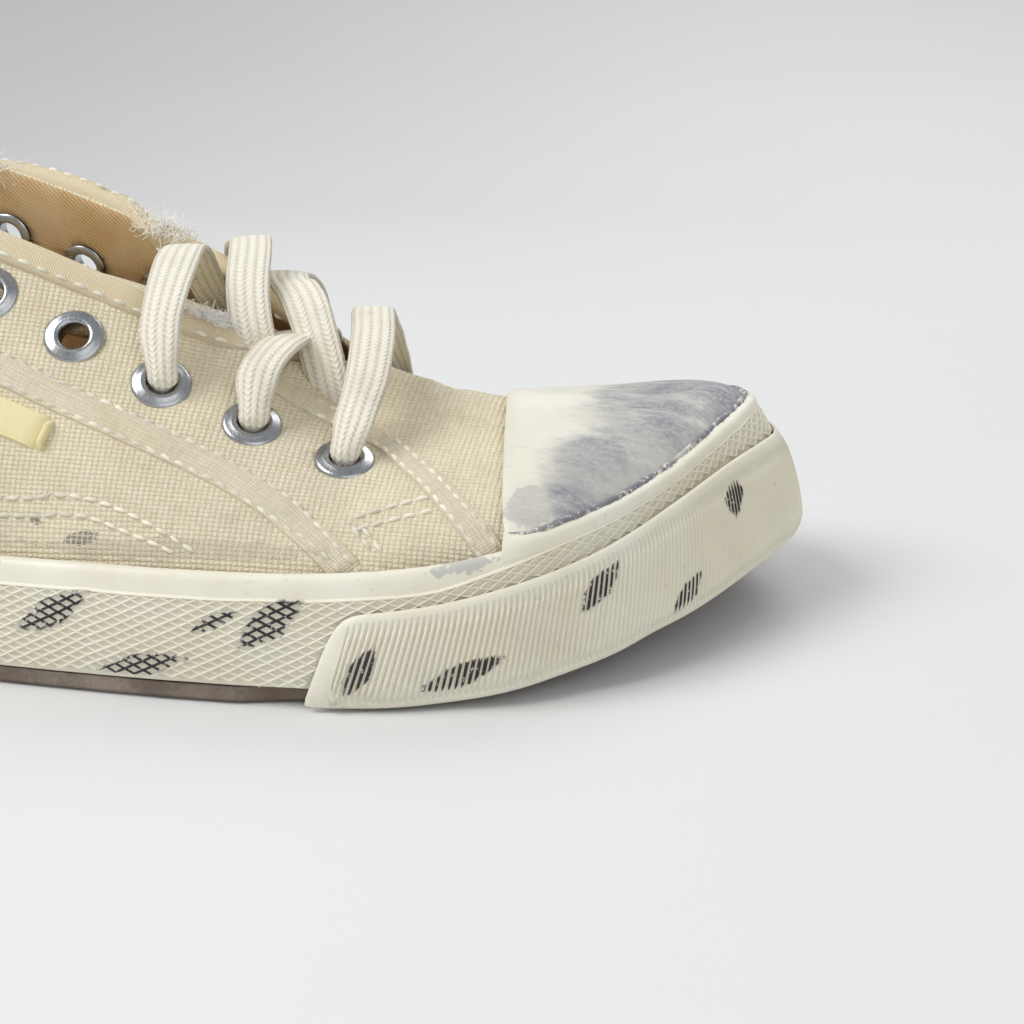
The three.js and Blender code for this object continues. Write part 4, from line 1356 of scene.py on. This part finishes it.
def make_bead(cap, rubber):
    """A rolled edge round the foot of the cap, where it meets the sole wall."""
    cap_skin = skin_of(cap)
    line = []
    for k in range(400):
        share = 0.3 + 0.4 * k / 399
        hits = []
        for n in range(60):
            z = (22 + n * 0.3) * MM
            spot = touch(cap_skin, share, z)[0]
            if spot is not None:
                hits.append(spot)
        if hits and hits[0].x > 96 * MM:
            line.append(hits[0])
    path = smooth_line(line[::6] + [line[-1]], 1.5 * MM)
    around = 8

    def where(i, j):
        ahead = (path[min(len(path) - 1, i + 1)] - path[max(0, i - 1)]).normalized()
        outward = ahead.cross(UP).normalized()
        up = outward.cross(ahead)
        turn = 2 * math.pi * (j % around) / around
        ends = min(1.0, i / 4, (len(path) - 1 - i) / 4) * 0.8 + 0.2
        size = (0.72 + 0.08 * math.sin(i * 1.3) * math.sin(i * 0.37)) * ends
        centre = path[i] + outward * 0.15 * MM + up * 0.25 * MM
        return centre + (outward * math.cos(turn) * 0.85 + up * math.sin(turn)) * size * MM

    piece = grid_piece("cap_edge_roll", len(path) - 1, around, where, (len(path) * 1.5, 5))
    close_ends(piece)
    smooth(piece)
    return finish(piece, "toe_cap", rubber)


def make_toe_slope(cap, wall_piece, rubber):
    """The smooth rubber that slopes from the foot of the cap down onto the sole wall."""
    cap_skin, wall = skin_of(cap), Wall(wall_piece)
    pairs = []
    for k in range(240):
        share = 0.3 + 0.4 * k / 239
        foot = None
        for n in range(80):
            foot = touch(cap_skin, share, (22 + n * 0.25) * MM)[0]
            if foot is not None:
                break
        edge = wall.point(share, wall.high(share) - 1.3 * MM, 0.12 * MM)
        if foot and edge and foot.x > 94 * MM and (foot - edge).length < 9 * MM:
            pairs.append((foot, edge, walk(share)[1]))
    last = len(pairs) - 1

    def where(i, j):
        top, low, outward = pairs[i]
        top = top - outward * 0.5 * MM + UP * 0.5 * MM
        if j % 8 > 5:
            return (top if j % 8 == 7 else low) - outward * 1.6 * MM - UP * 0.3 * MM
        t = (j % 8) / 5
        swell = 0.9 * math.sin(math.pi * t) + 0.25 * math.sin(math.pi * t) ** 2
        return top + (low - top) * t + (outward * 0.8 + UP * 0.6) * swell * MM

    piece = grid_piece("toe_slope", last, 8, where, (last * 1.1, 12))
    close_ends(piece)
    smooth(piece, 50)
    return finish(piece, "sole_wall", rubber)


# ---- eyelets ----
def model_washer():
    """A rolled washer, its barrel through the canvas and its back ring, spun round the hole."""
    profile = [(2.6, -2.5), (2.55, -0.6), (2.55, 0.4), (2.75, 0.85), (3.2, 1.05), (3.7, 0.95),
               (4.1, 0.72), (4.6, 0.66), (5.0, 0.5), (5.25, 0.14), (5.2, -0.12), (4.7, -0.2),
               (3.6, -0.1), (3.1, -0.5), (3.05, -2.1), (3.4, -2.35), (4.3, -2.45), (4.6, -2.7),
               (4.3, -3.05), (3.5, -3.2), (2.85, -3.0)]
    bpy.ops.object.select_all(action="DESELECT")
    bpy.ops.mesh.primitive_circle_add(vertices=len(profile), radius=1, fill_type="NOTHING")
    washer = bpy.context.object
    for vertex, (radius, height) in zip(washer.data.vertices, profile):
        vertex.co = Vector((radius, 0, height)) * MM
    open_mesh(washer)
    bpy.ops.mesh.spin(steps=36, angle=2 * math.pi, center=(0, 0, 0), axis=(0, 0, 1))
    bpy.ops.mesh.select_all(action="SELECT")
    bpy.ops.mesh.remove_doubles(threshold=0.01 * MM)
    bpy.ops.mesh.normals_make_consistent(inside=False)
    close_mesh()
    smooth(washer, 60)
    return washer


def eyelet_axis(node):
    """Centre of the canvas under an eyelet and the way it faces, from its solid."""
    points = [v.co.copy() for v in nodes[node].data.vertices]
    low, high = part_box(node)
    middle = (low + high) / 2
    normal = Vector((0, -0.6 if middle.y < 0 else 0.6, 0.8))
    for _ in range(40):
        rim = [p for p in points if abs((p - middle).dot(normal)) < 8 * MM]
        spread = [[0.0] * 3 for _ in range(3)]
        centre = sum(rim, Vector()) / len(rim)
        for p in rim:
            off = p - centre
            for a in range(3):
                for b in range(3):
                    spread[a][b] += off[a] * off[b]
        normal = (Matrix(spread).inverted() @ normal).normalized()
        middle = centre
    if normal.z < 0:
        normal.negate()
    top = max((p - middle).dot(normal) for p in points)
    return middle + normal * (top - 2.0 * MM), normal


def make_eyelets(skin, steel):
    washer = model_washer()
    seats = {}
    for side in ("lateral", "medial"):
        for n in range(1, 7):
            node = f"eyelet_{side}_{n}"
            seat, normal = eyelet_axis(node)
            spot = skin.find_nearest(seat + normal * 3 * MM)[0]
            lift = max(-0.4 * MM, min(1.0 * MM, (spot - seat).dot(normal)))
            piece = washer.copy()
            piece.data = washer.data.copy()
            piece.name = f"washer_{side}_{n}"
            bpy.context.collection.objects.link(piece)
            piece.data.transform(Matrix.Translation(seat + normal * lift)
                                 @ UP.rotation_difference(normal).to_matrix().to_4x4())
            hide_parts(node)
            finish(piece, "eyelet_metal", steel)
            seats[side, n] = (seat + normal * lift, normal)
    bpy.data.objects.remove(washer)
    return seats


# ---- lace: one flat lace, loosened, seen as five arches over the throat ----
# each row is along, across, up, width and twist (millimetres and degrees)
LACES = {
    "lace_strip_1": (("lateral", 3), None, [
        (33.5, -25.2, 57.0, 7.4, 0), (33.2, -20, 62.8, 7.8, 0), (31.8, -10, 67.2, 8.0, 4),
        (29.8, 0, 67.9, 8.0, 0), (28, 9, 65.6, 8.0, -4), (27, 15.2, 61.6, 8.0, 0),
        (27.4, 19.5, 57, 7.6, 0), (28.6, 22.8, 52.6, 7.0, 0)]),
    "lace_strip_2": (None, ("medial", 3), [
        (49.6, -14.6, 42.5, 7.4, 0), (47.8, -13.6, 48.4, 7.8, 0), (45.4, -11.4, 56.0, 8.0, 4),
        (43.8, -7.4, 62.4, 8.0, 4), (42, 0.5, 67.2, 8.0, 0), (39.4, 9, 68.2, 8.0, -4),
        (36.2, 17, 67.2, 7.8, -8), (33, 23.4, 64.2, 7.2, -6)]),
    "lace_strip_3": (("lateral", 2), None, [
        (50.4, -24.2, 49.6, 7.4, 6), (51.5, -17.4, 52.8, 7.8, 4), (52.4, -9, 53.4, 8.0, 0),
        (52.8, 1, 52.6, 8.0, 0), (52.4, 9.6, 51.2, 8.0, 0), (51, 15.6, 47.4, 7.6, 0),
        (49.6, 20.4, 42.6, 7.0, 0)]),
    "lace_strip_4": (None, ("medial", 2), [
        (61.6, -13.6, 37.5, 7.6, -8), (60.4, -13.0, 43.2, 8.0, -8), (58.6, -11.6, 49.6, 8.2, -8),
        (55.2, -7.2, 57.2, 8.2, -6), (52.0, -2.6, 60.6, 8.0, -4), (48.8, 2, 61.8, 8.0, 0),
        (46.2, 10.5, 61.8, 8.0, 4), (46, 18.2, 60.2, 7.8, 4), (46.4, 23.8, 56.4, 7.2, 0)]),
    "lace_strip_5": (("lateral", 1), ("medial", 1), [
        (67.4, -24.2, 42.6, 7.3, 0), (68.2, -18, 48.4, 7.8, 4), (67.2, -8.6, 54.2, 8.0, 4),
        (64.8, 1.6, 56.6, 8.0, 0), (63.2, 10.2, 54.8, 8.0, -4), (62.8, 17.4, 50.2, 7.8, -4),
        (63.2, 22.4, 45.4, 7.0, 0)]),
}


def mouth(seats, key):
    """Where the lace passes an eyelet: from inside the shoe to just above the washer."""
    seat, normal = seats[key]
    return [(seat - normal * 5 * MM, 4.6, 0), (seat - normal * 1.0 * MM, 4.5, 0),
            (seat + normal * 2.2 * MM, 5.4, 0)]


def make_lace(name, seats, start, end, rows, cotton):
    stops = [(Vector(row[:3]) * MM, row[3], row[4]) for row in rows]
    if start:
        stops = mouth(seats, start) + stops
    if end:
        stops = stops + mouth(seats, end)[::-1]
    line = smooth_line([s[0] for s in stops], 0.8 * MM)
    reach = [0.0]
    for a, b in zip(stops, stops[1:]):
        reach.append(reach[-1] + (b[0] - a[0]).length)
    total = reach[-1]
    across_points = (-1, -0.94, -0.7, -0.35, 0, 0.35, 0.7, 0.94, 1)
    last = len(line) - 1
    rings = []
    for k, point in enumerate(line):
        at = total * k / last
        n = max(i for i in range(len(reach) - 1) if reach[i] <= at + 1e-9)
        t = min(1.0, (at - reach[n]) / (reach[n + 1] - reach[n]))
        t = t * t * (3 - 2 * t)
        width = stops[n][1] + (stops[n + 1][1] - stops[n][1]) * t
        twist = math.radians(stops[n][2] + (stops[n + 1][2] - stops[n][2]) * t)
        ahead = (line[min(last, k + 1)] - line[max(0, k - 1)]).normalized()
        aside = Vector((1, 0, 0))
        aside = (aside - ahead * aside.dot(ahead)).normalized()
        aside = Matrix.Rotation(twist + 0.05 * math.sin(k * 0.21), 3, ahead) @ aside
        face = aside.cross(ahead).normalized()
        pinch = max(0.0, (8 - width) / 3.4)
        cup = (0.25 + 1.5 * pinch) * MM
        ring = []
        for sense in (1, -1):
            for a in across_points[::sense]:
                thick = 0.55 if abs(a) < 0.97 else 0.16
                rib = 0.05 * math.cos(a * 3 * 2 * math.pi) if abs(a) < 0.9 else 0
                ring.append(point + aside * a * width / 2 * MM + face * cup * (0.5 - a * a)
                            + face * sense * (thick + rib) * MM)
        ring.append(ring[0].copy())
        rings.append(ring)
    around = len(rings[0]) - 1
    piece = grid_piece(name.replace("lace_strip", "lace"), last, around,
                       lambda i, j: rings[i][j], (last * 0.8, 18.4))
    close_ends(piece)
    smooth(piece, 60)
    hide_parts(name)
    return finish(piece, "lace_cloth", cotton)


# ---- frayed threads and label tab ----
# places of the worn tufts, with how many threads, how wide and how long
FRAYS = [((-20, 27.5, 81), 220, 8, 4.6), ((21, 21, 68), 260, 7, 4.6), ((37, -16, 57), 320, 5, 4.2),
         ((70, -18, 40), 240, 4, 3.8), ((-131, 4, 77.5), 160, 9, 4), ((-60, -27, 65), 110, 7, 3.5),
         ((-74, 28.5, 63), 90, 7, 3.5), ((66, 17.5, 41.5), 110, 5, 3.0)]


THREAD_BENDS = 6


def grow_thread(curve, where, way, away, reach):
    """One curling thread that tapers and never turns back into the cloth."""
    spline = curve.splines.new("POLY")
    spline.points.add(THREAD_BENDS)
    for k, point in enumerate(spline.points):
        point.co = (*where, 1)
        point.radius = 1 - 0.06 * k
        way = (way + Vector([dice.uniform(-1, 1) for _ in range(3)]) * 0.8).normalized()
        if way.dot(away) < 0.1:
            way = (way + away * (0.1 - way.dot(away))).normalized()
        where = where + way * reach / THREAD_BENDS


def make_frays(rim, thread):
    """Short loose threads standing out of the worn edges."""
    curve = bpy.data.curves.new("frayed_threads", "CURVE")
    curve.dimensions = "3D"
    curve.bevel_depth = 0.085 * MM
    curve.bevel_resolution = 0
    curve.use_fill_caps = True
    for place, count, spread, length in FRAYS:
        place = Vector(place) * MM
        centre = min(range(len(rim)), key=lambda k: (rim[k][0] - place).length)
        for _ in range(count):
            k = round(centre + dice.gauss(0, spread / 4)) % len(rim)
            point, normal, up = rim[k]
            ahead = (rim[(k + 1) % len(rim)][0] - point) * dice.uniform(0, 1)
            # each thread starts just under the skin of the folded band and leaves it straight on
            turn = dice.uniform(-0.25, 2.6)
            away = normal * math.cos(turn) + up * math.sin(turn)
            root = point + ahead + (normal * (1.85 * math.cos(turn) - 0.95)
                                    + up * (1.4 * math.sin(turn) - 0.55)) * MM
            way = (away + Vector([dice.uniform(-0.7, 0.7) for _ in range(3)])).normalized()
            reach = length * dice.uniform(0.3, 1.0) ** 1.4 * MM
            grow_thread(curve, root, way, away, reach)
    threads = bpy.data.objects.new("frayed_threads", curve)
    bpy.context.collection.objects.link(threads)
    only(threads)
    bpy.ops.object.convert(target="MESH")
    threads = bpy.context.object
    open_mesh(threads)
    bpy.ops.mesh.remove_doubles(threshold=0.002 * MM)
    bpy.ops.mesh.normals_make_consistent(inside=False)
    close_mesh()
    smooth(threads)
    return finish(threads, "canvas", thread)


def make_label(skin, satin):
    line = side_points(skin, [(-9, 48.6), (0, 45.9), (8, 43.3), (16.6, 40.4)], -1)
    tab = strip("label_tab_satin", skin, line, 6.4, 0.9, 1.2)
    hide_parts("label_tab")
    finish(tab, "tab_satin", satin)
    end = side_points(skin, [(17.1, 42.9), (16.6, 41.3), (16.0, 39.4), (15.5, 37.8)], -1)
    fold = strip("label_tab_fold", skin, end, 1.1, 1.4, 0.8)
    finish(fold, "tab_satin", satin)


# ---- floor ----
def make_floor(paint):
    """A floor with its far edge drawn up into a curved backdrop."""
    bpy.ops.object.select_all(action="DESELECT")
    bpy.ops.mesh.primitive_plane_add(size=6, location=(0, -2.3, -0.0002))
    floor = bpy.context.object
    floor.name = "studio_floor"
    for _ in range(12):
        turn_up_back_edge(floor)
    smooth(floor)
    floor.data.materials.append(paint)


def turn_up_back_edge(floor):
    """Extrudes the far edge one more step, each step steeper than the last."""
    mesh = floor.data
    for item in (*mesh.vertices, *mesh.edges, *mesh.polygons):
        item.select = False
    order = sorted(mesh.vertices, key=lambda v: (v.co.y + v.co.z))
    for vertex in order[-2:]:
        vertex.select = True
    steps = (len(mesh.vertices) - 4) // 2
    tilt = min(math.pi / 2, math.radians(9) * (steps + 1))
    bpy.ops.object.mode_set(mode="EDIT")
    bpy.ops.mesh.select_mode(type="EDGE")
    bpy.ops.mesh.extrude_region_move(TRANSFORM_OT_translate={
        "value": (0, 0.16 * math.cos(tilt), 0.16 * math.sin(tilt))})
    bpy.ops.mesh.select_mode(type="VERT")
    bpy.ops.object.mode_set(mode="OBJECT")


# ---- making ----
set_camera()

canvas = canvas_finish("worn_canvas", colour(0.92, 0.84, 0.63), colour(0.81, 0.71, 0.49), dirty=0.4)
tape_cloth = canvas_finish("seam_tape", colour(0.82, 0.75, 0.57), colour(0.70, 0.62, 0.44), 0.5, 0.4, 0.14)
hem_cloth = twill_finish("hem_twill", colour(0.84, 0.73, 0.52), colour(0.70, 0.56, 0.36), 0.62)
lining = twill_finish("tan_lining", colour(0.64, 0.42, 0.21), colour(0.44, 0.27, 0.12), 1.1)
footbed_cloth = twill_finish("worn_footbed", colour(0.60, 0.45, 0.27), colour(0.42, 0.29, 0.16), 0.9)
wall_rubber = rubber_finish("aged_wall_rubber")
diamond_rubber = rubber_finish("diamond_rubber", WALL_INK, 450.0)
rib_rubber = rubber_finish("ribbed_rubber", BUMPER_INK, 500.0, 0.42)
cap_rubber = cap_finish()
edge_rubber = bead_finish()
seam_thread = thread_finish("cream_thread", (0.98, 0.93, 0.78))
loose_thread = thread_finish("loose_white_thread", (1.0, 0.99, 0.95), 0.9)
lace_cotton = lace_finish()
satin = satin_finish()
steel = steel_finish()
tread = tread_finish()

upper, frames = make_upper(canvas, lining)
upper_skin = skin_of(upper)
seats = make_eyelets(upper_skin, steel)
for name, (start, end, rows) in LACES.items():
    make_lace(name, seats, start, end, rows, lace_cotton)
hem_spots = make_hem(frames, hem_cloth)
make_seams(upper_skin, hem_spots, tape_cloth, seam_thread)
make_frays(hem_spots, loose_thread)
make_label(upper_skin, satin)
make_tongue(canvas, lining)
make_footbed(footbed_cloth)
wall = make_wall(wall_rubber)
bumper = make_bumper(wall_rubber)
make_diamonds(wall, bumper, diamond_rubber)
make_ribs(bumper, rib_rubber)
cap = make_cap(cap_rubber)
make_bead(cap, edge_rubber)
make_toe_slope(cap, wall, wall_rubber)
for slot in nodes["outsole"].material_slots:
    slot.material = tread
make_floor(floor_finish())
set_lights()
